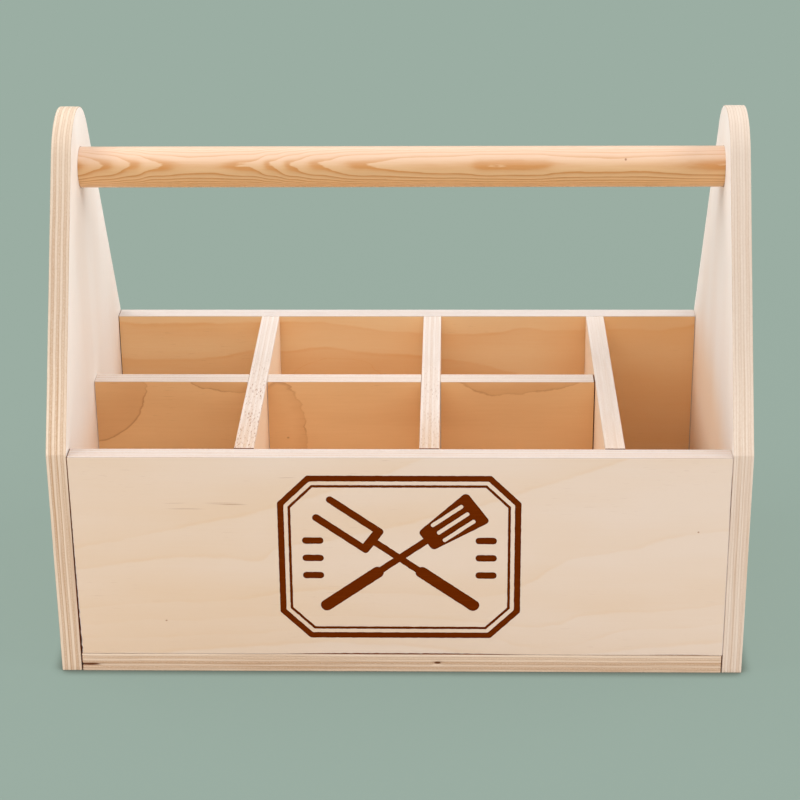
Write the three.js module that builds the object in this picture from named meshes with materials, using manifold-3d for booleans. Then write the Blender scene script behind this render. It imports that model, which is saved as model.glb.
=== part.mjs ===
// A plywood carrying caddy with seven cells: boards nailed round a bottom panel, cross-lapped dividers,
// and a round handle screwed between two gable-shaped side panels.
// Millimetres, +Z up, the front at -Y and +X to the right of someone who faces it.
// The origin is on the table, under the middle of the bottom panel.

import * as THREE from 'three';
import { mergeVertices } from 'three/addons/utils/BufferGeometryUtils.js';
import Module from 'manifold-3d';

// Cells: two rows of them at the left, and one slot as deep as both rows at the right
const COLUMNS = ['left', 'middle', 'right']; // each column has a cross divider at its right
const CELL_WIDTH = 82.5;
const CELL_DEPTH = 85;
const CELL_HEIGHT = 112; // from the bottom panel to the tops of the walls and dividers
const SLOT_WIDTH = 52.5;

// Boards
const BOARD = 10; // every panel and divider is cut from the same plywood
const SHOULDER_RISE = 1; // the side panels begin to slope this far above the walls
const EDGE_EASE = 0.6; // sanded edges
const GLUE_GAP = 0.25; // between two boards that are fixed to each other
const DIVIDER_GAP = 0.6; // at the divider ends that nothing fixes
const LAP_CLEARANCE = 0.25; // round a board in another board's slot

// Handle
const HANDLE_RISE = 118; // from the tops of the walls to the handle's axis
const HANDLE_DIAMETER = 21;
const HANDLE_EASE = 1;
const TOP_RIM = 20.5; // wood round the handle at the rounded top of a side panel
const SEAT_DEPTH = 4; // blind bores in the side panels take the handle's ends
const SEAT_CLEARANCE = 0.25;

// Countersunk screws that hold the handle
const SCREW_BITE = 29; // reach into the handle
const SCREW_DIAMETER = 4;
const SCREW_HEAD_OVERHANG = 2; // round the shank, and as high, for a right-angled countersink
const SCREW_POINT = 5;
const SCREW_RECESS_RIM = 1.7; // from the end of the cross recess to the edge of the head
const SCREW_RECESS_WIDTH = 1.2;
const SCREW_RECESS_DEPTH = 1.6;

// Nails
const NAIL_BITE = 18; // reach into the second board
const NAIL_DIAMETER = 1.4;
const NAIL_HEAD_OVERHANG = 0.6; // round the shank
const NAIL_HEAD_HEIGHT = 0.8;
const NAIL_POINT = 2.5;
const NAIL_MARGIN = 22; // from the end of a joint to its first nail
const NAILS_IN_WALL_END = 3;
const NAILS_IN_BOTTOM_END = 3;
const NAILS_IN_WALL_FOOT = 4;
const NAILS_IN_DIVIDER_END = 2;

// Both kinds of fastener
const FASTENER_SET = 0.3; // heads are sunk below the surface
const FASTENER_CLEARANCE = 0.25;

// Fineness of round shapes
const EASE_STEPS = 2;
const TOP_ARC_STEPS = 12;
const HANDLE_SIDES = 40;
const SCREW_SIDES = 16;
const NAIL_SIDES = 8;

// Finishes
const birchPly = new THREE.MeshStandardMaterial({ color: 0xe0c8af, roughness: 0.7, metalness: 0 });
const pine = new THREE.MeshStandardMaterial({ color: 0xf0cda0, roughness: 0.6, metalness: 0 });
const zincSteel = new THREE.MeshStandardMaterial({ color: 0xb4b2ac, roughness: 0.35, metalness: 1 });

// Faces of the carcass, worked out from the cells
const innerWidth = COLUMNS.length * (CELL_WIDTH + BOARD) + SLOT_WIDTH;
const innerLeft = -innerWidth / 2;
const innerRight = innerWidth / 2;
const outerLeft = innerLeft - BOARD;
const outerRight = innerRight + BOARD;
const innerBack = BOARD / 2 + CELL_DEPTH;
const innerFront = -innerBack;
const back = innerBack + BOARD;
const front = -back;
const wallFoot = BOARD + GLUE_GAP;
const wallTop = BOARD + CELL_HEIGHT;

// Directions
const LEFTWARD = new THREE.Vector3(-1, 0, 0);
const RIGHTWARD = new THREE.Vector3(1, 0, 0);
const FORWARD = new THREE.Vector3(0, -1, 0);
const UPWARD = new THREE.Vector3(0, 0, 1);
const TURNING_AXIS = new THREE.Vector3(0, 1, 0); // of every turned shape, before it is placed

const wasm = await Module();
wasm.setup();

// A closed geometry as a solid that can be cut, without the flat triangles that a pole leaves behind
function solidOf(geometry) {
  const bare = geometry.clone();
  bare.deleteAttribute('normal');
  bare.deleteAttribute('uv');
  const merged = mergeVertices(bare);
  const corners = merged.index.array;
  const triangles = [];
  for (let i = 0; i < corners.length; i += 3) {
    const [a, b, c] = corners.slice(i, i + 3);
    if (a !== b && b !== c && c !== a) {
      triangles.push(a, b, c);
    }
  }
  return new wasm.Manifold(new wasm.Mesh({
    numProp: 3,
    vertProperties: Float32Array.from(merged.attributes.position.array),
    triVerts: Uint32Array.from(triangles),
  }));
}

function geometryOf(solid) {
  const mesh = solid.getMesh();
  const geometry = new THREE.BufferGeometry();
  geometry.setAttribute('position', new THREE.BufferAttribute(mesh.vertProperties, 3));
  geometry.setIndex(new THREE.BufferAttribute(mesh.triVerts, 1));
  geometry.computeVertexNormals();
  return geometry;
}

// Cuts a geometry, given in a placed object's own frame, out of a placed piece
function cut(piece, geometry, placed) {
  piece.updateMatrixWorld();
  placed.updateMatrixWorld();
  const intoPiece = piece.matrixWorld.clone().invert().multiply(placed.matrixWorld);
  const tool = geometry.clone().applyMatrix4(intoPiece);
  piece.geometry = geometryOf(solidOf(piece.geometry).subtract(solidOf(tool)));
}

// A turned shape: [radius, distance] pairs from one end of the axis to the other, along +Y
function turned(profile, sides) {
  const points = profile.map(([radius, distance]) => new THREE.Vector2(radius, distance));
  return new THREE.LatheGeometry(points, sides);
}

const caddy = new THREE.Group();

function addPiece(name, geometry, material) {
  const piece = new THREE.Mesh(geometry, material);
  piece.name = name;
  caddy.add(piece);
  return piece;
}

// A board cut to an outline, its edges eased, its thickness along the outline's normal
function addBoard(name, outline) {
  const geometry = new THREE.ExtrudeGeometry(outline, {
    depth: BOARD - 2 * EDGE_EASE,
    curveSegments: TOP_ARC_STEPS,
    bevelThickness: EDGE_EASE,
    bevelSize: EDGE_EASE,
    bevelOffset: -EDGE_EASE,
    bevelSegments: EASE_STEPS,
  });
  geometry.translate(0, 0, EDGE_EASE - BOARD / 2);
  return addPiece(name, geometry, birchPly);
}

// Stands a board whose outline is drawn in Y and Z, with its middle at x
function standAcross(board, x) {
  board.rotation.set(0, Math.PI / 2, Math.PI / 2);
  board.position.x = x;
  return board;
}

// Stands a board whose outline is drawn in X and Z, with its middle at y
function standAlong(board, y) {
  board.rotation.x = Math.PI / 2;
  board.position.y = y;
  return board;
}

function polygon(...corners) {
  return new THREE.Shape(corners.map(([x, y]) => new THREE.Vector2(x, y)));
}

// Side panels: straight up to the shoulder, then sloping along a tangent of the rounded top
const handleRadius = HANDLE_DIAMETER / 2;
const handleHeight = wallTop + HANDLE_RISE;

function sidePanelOutline() {
  const shoulder = wallTop + SHOULDER_RISE;
  const topRadius = handleRadius + TOP_RIM;
  const rise = handleHeight - shoulder;
  const slope = Math.atan2(rise, back) + Math.asin(topRadius / Math.hypot(rise, back));
  const outline = new THREE.Shape();
  outline.moveTo(front, 0);
  outline.lineTo(back, 0);
  outline.lineTo(back, shoulder);
  outline.absarc(0, handleHeight, topRadius, Math.PI / 2 - slope, Math.PI / 2 + slope);
  outline.lineTo(front, shoulder);
  return outline;
}

const sides = [
  { side: 'left', face: outerLeft, inward: RIGHTWARD },
  { side: 'right', face: outerRight, inward: LEFTWARD },
];
for (const placed of sides) {
  const middle = placed.face + placed.inward.x * (BOARD / 2);
  placed.panel = standAcross(addBoard(`${placed.side}_side_panel`, sidePanelOutline()), middle);
}
const [leftSide] = sides;

// Bottom panel, between the side panels and as deep as they are
const bottomPanel = addBoard('bottom_panel', polygon(
  [innerLeft + GLUE_GAP, front],
  [innerRight - GLUE_GAP, front],
  [innerRight - GLUE_GAP, back],
  [innerLeft + GLUE_GAP, back],
));
bottomPanel.position.z = BOARD / 2;

// Front and back panels, standing on the bottom panel between the side panels
function addWall(name, y) {
  const outline = polygon(
    [innerLeft + GLUE_GAP, wallFoot],
    [innerRight - GLUE_GAP, wallFoot],
    [innerRight - GLUE_GAP, wallTop],
    [innerLeft + GLUE_GAP, wallTop],
  );
  return standAlong(addBoard(name, outline), y);
}

const walls = [
  { wall: 'front', panel: addWall('front_panel', front + BOARD / 2) },
  { wall: 'back', panel: addWall('back_panel', back - BOARD / 2) },
];
const backPanel = walls[1].panel;

// Cross dividers, front to back; a lapped one has a slot in its foot for the long divider
const lapHeight = (wallFoot + wallTop) / 2;
const lapHalfWidth = BOARD / 2 + LAP_CLEARANCE;

function crossDividerOutline(lapped) {
  const frontEnd = innerFront + DIVIDER_GAP;
  const backEnd = innerBack - GLUE_GAP;
  const slotTop = lapHeight + LAP_CLEARANCE / 2;
  const slot = [
    [-lapHalfWidth, wallFoot],
    [-lapHalfWidth, slotTop],
    [lapHalfWidth, slotTop],
    [lapHalfWidth, wallFoot],
  ];
  return polygon(
    [frontEnd, wallFoot],
    ...(lapped ? slot : []),
    [backEnd, wallFoot],
    [backEnd, wallTop],
    [frontEnd, wallTop],
  );
}

const crossDividers = COLUMNS.map((column, index) => {
  const lapped = index < COLUMNS.length - 1;
  const middle = innerLeft + (index + 1) * (CELL_WIDTH + BOARD) - BOARD / 2;
  return standAcross(addBoard(`cross_divider_${column}`, crossDividerOutline(lapped)), middle);
});

// Long divider, from the left side panel to the last cross divider, slotted from above for the others
function longDividerOutline() {
  const [last, ...lapped] = crossDividers.map((divider) => divider.position.x).reverse();
  const leftEnd = innerLeft + GLUE_GAP;
  const rightEnd = last - BOARD / 2 - DIVIDER_GAP;
  const slotFoot = lapHeight - LAP_CLEARANCE / 2;
  const slots = lapped.flatMap((x) => [
    [x + lapHalfWidth, wallTop],
    [x + lapHalfWidth, slotFoot],
    [x - lapHalfWidth, slotFoot],
    [x - lapHalfWidth, wallTop],
  ]);
  return polygon(
    [leftEnd, wallFoot],
    [rightEnd, wallFoot],
    [rightEnd, wallTop],
    ...slots,
    [leftEnd, wallTop],
  );
}

const longDivider = standAlong(addBoard('long_divider', longDividerOutline()), 0);

// Handle, its ends seated in blind bores of the side panels
function roundBar(radius, length, ease) {
  return turned([
    [0, -length / 2],
    [radius - ease, -length / 2],
    [radius, -length / 2 + ease],
    [radius, length / 2 - ease],
    [radius - ease, length / 2],
    [0, length / 2],
  ], HANDLE_SIDES);
}

const seatSpan = innerWidth + 2 * SEAT_DEPTH;
const seat = roundBar(handleRadius + SEAT_CLEARANCE, seatSpan, 0);
const handleShape = roundBar(handleRadius, seatSpan - 2 * SEAT_CLEARANCE, HANDLE_EASE);
const handle = addPiece('handle_dowel', handleShape, pine);
handle.rotation.z = -Math.PI / 2;
handle.position.z = handleHeight;
for (const { panel } of sides) {
  cut(panel, seat, handle);
}

// Drives a fastener into the wood from a point of its surface, through one piece and into the next
function drive(fastener, hole, point, direction, pieces) {
  fastener.quaternion.setFromUnitVectors(TURNING_AXIS, direction);
  fastener.position.copy(point);
  for (const piece of pieces) {
    cut(piece, hole, fastener);
  }
}

// Handle screws: a countersunk head with a cross recess, a plain shank and a point
const screwRadius = SCREW_DIAMETER / 2;
const screwHeadRadius = screwRadius + SCREW_HEAD_OVERHANG;
const screwNeck = FASTENER_SET + SCREW_HEAD_OVERHANG;
const screwEnd = BOARD - SEAT_DEPTH + SCREW_BITE;

function screwGeometry() {
  const span = 2 * (screwHeadRadius - SCREW_RECESS_RIM);
  const recessFloor = FASTENER_SET + SCREW_RECESS_DEPTH;
  const slit = new THREE.BoxGeometry(span, recessFloor, SCREW_RECESS_WIDTH).translate(0, recessFloor / 2, 0);
  const crossSlit = slit.clone().rotateY(Math.PI / 2);
  const body = turned([
    [0, FASTENER_SET],
    [screwHeadRadius, FASTENER_SET],
    [screwRadius, screwNeck],
    [screwRadius, screwEnd - SCREW_POINT],
    [0, screwEnd],
  ], SCREW_SIDES);
  return geometryOf(solidOf(body).subtract(solidOf(slit)).subtract(solidOf(crossSlit)));
}

const screwHole = turned([
  [0, -FASTENER_CLEARANCE],
  [screwHeadRadius + FASTENER_CLEARANCE, -FASTENER_CLEARANCE],
  [screwHeadRadius + FASTENER_CLEARANCE, FASTENER_SET],
  [screwRadius + FASTENER_CLEARANCE, screwNeck],
  [screwRadius + FASTENER_CLEARANCE, screwEnd],
  [0, screwEnd + FASTENER_CLEARANCE],
], SCREW_SIDES);

for (const { side, panel, face, inward } of sides) {
  const screw = addPiece(`handle_screw_${side}`, screwGeometry(), zincSteel);
  drive(screw, screwHole, new THREE.Vector3(face, 0, handleHeight), inward, [panel, handle]);
}

// Nails: a flat head, a plain shank and a point
const nailRadius = NAIL_DIAMETER / 2;
const nailHeadRadius = nailRadius + NAIL_HEAD_OVERHANG;
const nailNeck = FASTENER_SET + NAIL_HEAD_HEIGHT;
const nailEnd = BOARD + NAIL_BITE;

const nailShape = turned([
  [0, FASTENER_SET],
  [nailHeadRadius, FASTENER_SET],
  [nailHeadRadius, nailNeck],
  [nailRadius, nailNeck],
  [nailRadius, nailEnd - NAIL_POINT],
  [0, nailEnd],
], NAIL_SIDES);

const nailHole = turned([
  [0, -FASTENER_CLEARANCE],
  [nailHeadRadius + FASTENER_CLEARANCE, -FASTENER_CLEARANCE],
  [nailHeadRadius + FASTENER_CLEARANCE, nailNeck + FASTENER_CLEARANCE],
  [nailRadius + FASTENER_CLEARANCE, nailNeck + FASTENER_CLEARANCE],
  [nailRadius + FASTENER_CLEARANCE, nailEnd],
  [0, nailEnd + FASTENER_CLEARANCE],
], NAIL_SIDES);

// A row of nails, evenly spaced from one point of the surface to another
function nailRow(name, count, from, to, direction, pieces) {
  for (let i = 0; i < count; i += 1) {
    const point = new THREE.Vector3(...from).lerp(new THREE.Vector3(...to), i / (count - 1));
    const nail = addPiece(`${name}_nail_${i + 1}`, nailShape.clone(), zincSteel);
    drive(nail, nailHole, point, direction, pieces);
  }
}

// Side panels into the ends of the front, back and bottom panels
const lowNail = wallFoot + NAIL_MARGIN;
const highNail = wallTop - NAIL_MARGIN;
const frontNail = innerFront + NAIL_MARGIN;
const backNail = innerBack - NAIL_MARGIN;
const bottomMiddle = bottomPanel.position.z;
for (const { side, panel: sidePanel, face, inward } of sides) {
  for (const { wall, panel } of walls) {
    const y = panel.position.y;
    nailRow(`${side}_${wall}`, NAILS_IN_WALL_END,
      [face, y, lowNail], [face, y, highNail], inward, [sidePanel, panel]);
  }
  nailRow(`${side}_bottom`, NAILS_IN_BOTTOM_END,
    [face, frontNail, bottomMiddle], [face, backNail, bottomMiddle], inward, [sidePanel, bottomPanel]);
}

// Bottom panel into the feet of the front and back panels, clear of the nails in their ends
const footNail = outerRight - nailEnd - NAIL_MARGIN;
for (const { wall, panel } of walls) {
  const y = panel.position.y;
  nailRow(`bottom_${wall}`, NAILS_IN_WALL_FOOT,
    [-footNail, y, 0], [footNail, y, 0], UPWARD, [bottomPanel, panel]);
}

// Back panel into the cross dividers, left side panel into the long divider
for (const divider of crossDividers) {
  const x = divider.position.x;
  nailRow(divider.name, NAILS_IN_DIVIDER_END,
    [x, back, lowNail], [x, back, highNail], FORWARD, [backPanel, divider]);
}
nailRow(longDivider.name, NAILS_IN_DIVIDER_END,
  [outerLeft, 0, lowNail], [outerLeft, 0, highNail], leftSide.inward, [leftSide.panel, longDivider]);

export default caddy;
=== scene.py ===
"""Fine surfaces, finishes and a plain studio for a plywood barbecue caddy.

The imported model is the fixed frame: the boards, handle and fasteners take their places and sizes from it.
Lengths are metres. The patterns in the materials are worked out in millimetres.
"""

import math
from collections import namedtuple

import bpy
import numpy as np
from bpy.props import FloatProperty, FloatVectorProperty, IntProperty, PointerProperty
from bpy.types import Operator, Panel, PropertyGroup
from mathutils import Euler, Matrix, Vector
from mathutils.geometry import delaunay_2d_cdt


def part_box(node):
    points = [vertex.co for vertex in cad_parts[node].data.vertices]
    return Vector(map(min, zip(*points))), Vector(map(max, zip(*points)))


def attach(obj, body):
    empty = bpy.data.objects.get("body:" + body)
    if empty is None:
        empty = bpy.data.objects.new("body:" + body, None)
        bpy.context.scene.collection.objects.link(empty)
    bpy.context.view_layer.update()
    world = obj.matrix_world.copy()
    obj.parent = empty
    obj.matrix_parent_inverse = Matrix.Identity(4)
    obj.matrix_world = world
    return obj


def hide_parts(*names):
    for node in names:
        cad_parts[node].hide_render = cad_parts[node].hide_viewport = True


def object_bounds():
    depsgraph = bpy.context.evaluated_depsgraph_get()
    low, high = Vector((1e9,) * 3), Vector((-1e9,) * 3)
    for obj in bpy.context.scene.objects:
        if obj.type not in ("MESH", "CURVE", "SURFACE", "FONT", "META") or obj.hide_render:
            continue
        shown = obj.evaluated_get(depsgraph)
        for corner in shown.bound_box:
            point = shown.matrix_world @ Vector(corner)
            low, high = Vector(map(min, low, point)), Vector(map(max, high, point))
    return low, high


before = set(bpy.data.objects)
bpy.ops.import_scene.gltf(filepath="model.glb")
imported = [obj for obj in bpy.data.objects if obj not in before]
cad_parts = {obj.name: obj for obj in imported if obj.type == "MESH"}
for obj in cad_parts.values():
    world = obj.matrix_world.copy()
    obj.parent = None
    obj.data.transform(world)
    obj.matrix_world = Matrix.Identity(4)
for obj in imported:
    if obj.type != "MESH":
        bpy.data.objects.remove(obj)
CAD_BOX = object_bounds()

bl_info = {
    "name": "Barbecue caddy",
    "version": (1, 0, 0),
    "blender": (4, 5, 0),
    "location": "3D View > Sidebar > Caddy",
    "description": "Builds the boards, handle, fasteners and studio of a plywood barbecue caddy",
    "category": "Object",
}

MM = 0.001
FULL_TURN = 2 * math.pi
BODY = "root"

# Rows are a board's own directions: along its outline plane twice, then through its thickness
X_AXIS, Y_AXIS, Z_AXIS = np.eye(3)
WALL_PLANE = np.array([X_AXIS, Z_AXIS, -Y_AXIS])
GABLE_PLANE = np.array([Y_AXIS, Z_AXIS, X_AXIS])
FLOOR_PLANE = np.array([X_AXIS, Y_AXIS, Z_AXIS])

# Material slots of a board
LOW_FACE, HIGH_FACE, EDGE, SUNK = range(4)

# Growth lines of the veneer: how far the shade beside one reaches, upward or downward, and points along the
# grain and across it, all in millimetres from the table's middle
Line = namedtuple("Line", "shade points")
FRONT_LINES = (
    Line(26, ((-165, 71), (-120, 80), (-75, 91), (-45, 99.5), (-10, 112), (20, 124), (50, 137))),
    Line(26, ((-165, 59), (-118, 65), (-86, 65.8), (-70, 64.6), (-61, 71), (-40, 75), (0, 84), (57, 101),
             (106, 119), (140, 134))),
    Line(26, ((-165, 36), (-118, 40.5), (-94, 40.5), (-49, 47.4), (0, 45), (45, 44), (62, 50), (86, 64.3),
             (114, 70.9), (138, 77.4), (165, 82))),
    Line(26, ((-165, 27.2), (-118, 29.3), (-45, 32), (0, 31), (45, 29.2), (65, 26.1), (81, 28.4), (94, 33.3),
             (110, 35), (138, 35.8), (165, 39.5))),
    Line(26, ((-165, 19), (-100, 21), (-45, 24), (0, 24), (45, 20), (61, 14.5), (86, 15), (98, 18.7),
             (114, 23.6), (143, 26.1), (165, 29))),
    Line(26, ((-165, 9), (-120, 11.5), (-78, 14.3), (-45, 16.7), (0, 15), (60, 9), (98, 11), (130, 15),
             (165, 18))),
)
BACK_LINES = (
    Line(-14, ((-165, 118.5), (-130, 117), (-104, 118), (-45, 117.5), (-12, 113.5), (51, 112), (69, 115),
              (84, 113), (116, 114), (139, 113.5), (165, 117))),
    Line(-80, ((-165, 96.3), (-130, 94.9), (-109, 96.3), (-88, 100.8), (-71, 99.5), (-45, 102.8), (-26, 100),
              (8, 97), (50, 90), (100, 72), (120, 45), (165, 20))),
)
DIVIDER_LINES = (
    Line(12, ((-165, 126), (-116, 122.4), (-109, 118.7), (-99, 117.5), (-85, 116.3), (-75, 124), (20, 124),
             (34, 118.7), (43, 115.2), (49, 113.7), (69, 115.2), (87, 118.2), (102, 126))),
)

# Rounded patches of the veneer that a growth line closes: centre, half sizes and reach of the shade, in
# millimetres
Patch = namedtuple("Patch", "along across half_length half_height shade", defaults=(40.0,))
BACK_PATCHES = (Patch(-40, 82, 27, 13.5, 4.0),)
DIVIDER_PATCHES = (Patch(-175, 118, 38, 33), Patch(-67, 92, 15, 29, 8.0))

# Mineral streaks and pin knots of the veneer: centre and half sizes in millimetres, and how dark they are
Streak = namedtuple("Streak", "along across half_length half_height strength")
FRONT_STREAKS = (
    Streak(-83, 96.0, 9, 0.30, 0.55),
    Streak(-88, 96.6, 12, 0.9, 0.16),
    Streak(-107, 93.4, 12, 0.5, 0.24),
    Streak(-112, 96.5, 8, 0.4, 0.16),
    Streak(-119.6, 29.6, 0.8, 0.6, 0.80),
    Streak(149.5, 81, 0.7, 0.6, 0.80),
    Streak(49.7, 28.1, 0.5, 0.5, 0.70),
    Streak(-44, 108.4, 7, 0.4, 0.28),
    Streak(-56, 110.6, 6, 0.35, 0.25),
    Streak(-50, 104.6, 5, 0.35, 0.22),
)
DIVIDER_STREAKS = (Streak(-62, 89, 1.0, 0.8, 0.50),)

# Painted shade low inside the cells: a deeper, warmer colour where less light reaches, given like streaks
RIGHT_PAINTED_SHADE = (Streak(60, 20, 90, 150, 0.45),)
LEFT_PAINTED_SHADE = (Streak(60, -60, 65, 120, 0.25),)
BACK_PAINTED_SHADE = (Streak(142, 88, 76, 76, 0.38),)

# The handle's growth rings: how many its middle has passed, at places along it, then the pith's place from
# the handle's axis and the width of a ring, all in millimetres. The pin knot is given like a patch
HANDLE_RINGS = (
    (-168, 4.0), (-152, 3.0), (-137, 2.0), (-123, 1.0), (-103, 0.55), (-80, 1.0), (-66, 2.0), (-55, 3.0),
    (-41, 4.0), (-17, 5.0), (9, 5.5), (34, 5.62), (42, 5.9), (58, 5.96), (70, 5.88), (80, 5.6), (114, 5.45),
    (140, 5.62), (153, 5.82), (168, 5.97),
)
PITH_BACK, PITH_UP = 22.5, -9.4
RING_WIDTH = 0.95
PIN_KNOT = Patch(114.4, 6.3, 0.7, 0.7)

# The highest count that the curve of those rings can hold, and how far its counts are drawn to whole ones
MOST_RINGS = 8.0
RING_GATHER = 0.09

# Edges of the boards: colour of the light plies, darkness of each ply from the low face to the high one where
# 0 is light and 1 is dark, strength of the glue lines and hairlines, strength of the speckle, painted shade
# at the front end, and painted shade towards the upper end
Edge = namedtuple("Edge", "light tones hairlines speckle front_tone upper_soil", defaults=(0.12, 0.0, 0.0))
EDGES = {
    "left_side_panel": Edge("sawn_light", (0.20, 0.70, 0.18, 0.60, 0.18, 0.58, 0.32), 0.45, upper_soil=0.26),
    "right_side_panel": Edge("pale_sawn", (0.20, 0.16, 0.26, 0.18, 0.12, 0.28, 0.18), 0.35, upper_soil=0.22),
    "bottom_panel": Edge("sawn_light", (0.50, 0.70, 0.34, 0.74, 0.30, 0.48, 0.12), 0.40),
    "front_panel": Edge("edge_light", (0.14, 0.28, 0.12, 0.32, 0.14, 0.28, 0.14), 0.25),
    "back_panel": Edge("edge_light", (0.00, 0.08, 0.00, 0.12, 0.00, 0.08, 0.00), 0.20),
    "long_divider": Edge("inner_edge", (0.16, 0.36, 0.14, 0.38, 0.14, 0.36, 0.16), 0.20),
    "cross_divider_left": Edge("inner_edge", (0.10, 0.24, 0.12, 0.28, 0.10, 0.22, 0.12), 0.12, 0.9, 0.4),
    "cross_divider_middle": Edge("inner_edge", (0.10, 0.26, 0.12, 0.34, 0.12, 0.22, 0.10), 0.12, 0.4, 0.45),
    "cross_divider_right": Edge("inner_edge", (0.16, 0.20, 0.17, 0.20, 0.22, 0.20, 0.16), 0.05, 0.05, 0.25),
}

# How far in millimetres the painted shade of the joint gaps reaches over the low and the high end of a
# board's edges
JOINT_ENDS = {
    "bottom_panel": (1.4, 1.0),
    "front_panel": (0.9, 0.0),
    "back_panel": (0.4, 0.0),
    "long_divider": (0.0, 0.7),
    "cross_divider_left": (0.9, 0.0),
    "cross_divider_middle": (0.9, 0.0),
    "cross_divider_right": (0.9, 0.0),
}

# Stretches of an edge over which its look changes, in millimetres from the board's middle: the painted shade
# at the front end, the speckle, and the painted shade up the slope and at the crown
FRONT_TONE_SPAN = (-95.0, -25.0)
SPECKLE_SPAN = (-25.0, 45.0)
UPPER_SHADE_SPAN = (-10.0, 60.0)
CROWN_SPAN = (90.0, 125.0)

# Voids in the core plies that show on an edge: place on the outline in metres, ply, and half length and depth
# in metres
Void = namedtuple("Void", "at ply half_run depth")
BOTTOM_VOIDS = (
    Void((-0.1605, -0.100), 2, 0.0065, 0.0008),
    Void((0.0190, -0.100), 3, 0.0020, 0.0010),
)

# Where other boards stand against the side panels and on the bottom panel, given like patches. These faces
# carry painted shade, which shows through the joint gaps
SIDE_COVERS = (Patch(65, -96, 56.5, 5.5), Patch(65, 96, 56.5, 5.5))
BOTTOM_COVERS = (Patch(0, -96, 170, 5.5),)

# Where the joints of the front panel stand open: place along the joint and half length in metres, and share
# of the widest gap
OpenStretch = namedtuple("OpenStretch", "middle half share")
OPEN_FOOT = (OpenStretch(0.0, 0.052, 1.0), OpenStretch(0.143, 0.015, 0.4))
OPEN_RIGHT_END = (OpenStretch(0.099, 0.014, 0.35),)

# The gaps of those joints: their unevenness and its longest and shortest wave, the power of the height that
# the left one follows, and how far beside them points still move, in widest gaps
GAP_UNEVEN = 0.5
GAP_WAVES = (9 * MM, 3 * MM)
GAP_POWER = 1.2
GAP_FADE = 3

# Seeds of the random draws
SEEDS = {
    "left_side_panel": 0,
    "right_side_panel": 1,
    "bottom_panel": 11,
    "front_panel": 21,
    "front_joints": 22,
    "back_panel": 31,
    "cross_divider_left": 41,
    "cross_divider_middle": 42,
    "cross_divider_right": 43,
    "long_divider": 51,
}

# Light panels: place, width and depth in metres, and the value that gives the power
Lamp = namedtuple("Lamp", "name place width depth power")
LAMPS = (
    Lamp("key_panel", (0.05, -0.95, 1.25), 1.3, 1.0, "key_power"),
    Lamp("fill_panel", (0, -1.6, 0.16), 1.6, 0.3, "fill_power"),
    Lamp("top_strip", (0, -0.3, 1.4), 1.2, 0.2, "top_power"),
    Lamp("rim_strip", (0, 0.85, 0.95), 1.2, 0.2, "rim_power"),
    Lamp("left_panel", (-0.95, 0, 1.25), 1.6, 0.7, "left_power"),
    Lamp("right_panel", (2.0, 0, 1.75), 2.8, 1.2, "right_power"),
)
LAMP_AIM = (0, 0, 0.12)
SENSOR_WIDTH = 36.0

# Where the floor's share of the shadow fades out, in metres from the table's middle
SHADOW_FADE = (0.25, 0.75)


def length(label, about, millimetres):
    """A size property, written in millimetres and kept in metres."""
    return FloatProperty(name=label, description=about, default=millimetres * MM, unit="LENGTH", precision=5)


def bearing(label, about, degrees):
    """An angle property, written in degrees and kept in radians."""
    return FloatProperty(name=label, description=about, default=math.radians(degrees), subtype="ANGLE")


def power(label, about, watts):
    """The power of a light."""
    return FloatProperty(name=label, description=about, default=watts, min=0, unit="POWER")


def portion(label, about, share):
    """A share between none and all."""
    return FloatProperty(name=label, description=about, default=share, min=0, max=1, subtype="FACTOR")


def colour(label, about, red, green, blue):
    """A colour property, written as display values up to 255 and kept as scene-linear ones."""
    shares = np.array([red, green, blue]) / 255
    linear = np.where(shares > 0.04045, ((shares + 0.055) / 1.055) ** 2.4, shares / 12.92)
    return FloatVectorProperty(
        name=label, description=about, subtype="COLOR", size=4, min=0, max=1, default=(*linear.tolist(), 1.0)
    )


class CaddyBoards(PropertyGroup):
    """Sizes of the plywood boards that the frame's boxes do not give."""

    shoulder_height: length("Shoulder height", "Where the side panels begin to slope", 123)
    crown_radius: length("Crown radius", "Rounded top of the side panels, about the handle's axis", 31)
    edge_ease: length("Edge ease", "Radius of the sanded edges", 0.4)
    corner_radius: length("Corner radius", "Radius of the sawn corners of an outline", 0.5)
    sample_step: length("Sample step", "Longest step along an outline", 1.5)
    ply_relief: length("Ply relief", "How far sanding sinks the softest ply of an edge", 0.05)
    glue_groove: length("Glue groove", "Depth of the glue lines on an edge", 0.04)
    lap_clearance: length("Lap clearance", "Gap round a board in another board's slot", 0.06)
    seat_depth: length("Seat depth", "Blind bores in the side panels for the handle", 4)
    seat_clearance: length("Seat clearance", "Gap round the handle in its seat", 0.2)
    head_clearance: length("Head clearance", "Gap round the heads of nails and screws", 0.12)
    open_joint: length("Open joint", "Widest gap between the front and the left side panel", 0.85)
    open_foot: length("Open foot", "Widest gap under the front panel and at its right end", 0.45)
    tight_joint: length("Tight joint", "How far an end reaches into the glue gap of a closed joint", 0.2)
    head_pocket: length("Head pocket", "Depth of the wood below the heads", 1.2)
    plies: IntProperty(name="Plies", description="Veneers in a board", default=7, min=3)


class CaddyMark(PropertyGroup):
    """Sizes of the burnt mark on the front panel."""

    width: length("Width", "Frame of the mark, side to side", 122)
    height: length("Height", "Frame of the mark, top to bottom", 92)
    clip: length("Clip", "Cut corners of the frame", 15)
    thick_line: length("Thick line", "Outer line of the frame", 3.2)
    thin_line: length("Thin line", "Inner line of the frame", 1.4)
    line_gap: length("Line gap", "Between the two lines of the frame", 2)
    centre_height: length("Centre height", "Middle of the mark above the table", 66)
    tool_length: length("Tool length", "The crossed fork and turner", 98)
    tool_angle: bearing("Tool angle", "Slope of each crossed tool", 36)
    burn_depth: length("Burn depth", "How far the mark is burnt in", 0.35)
    burn_wander: length("Burn wander", "Unevenness of the burnt edges", 0.12)


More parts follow.
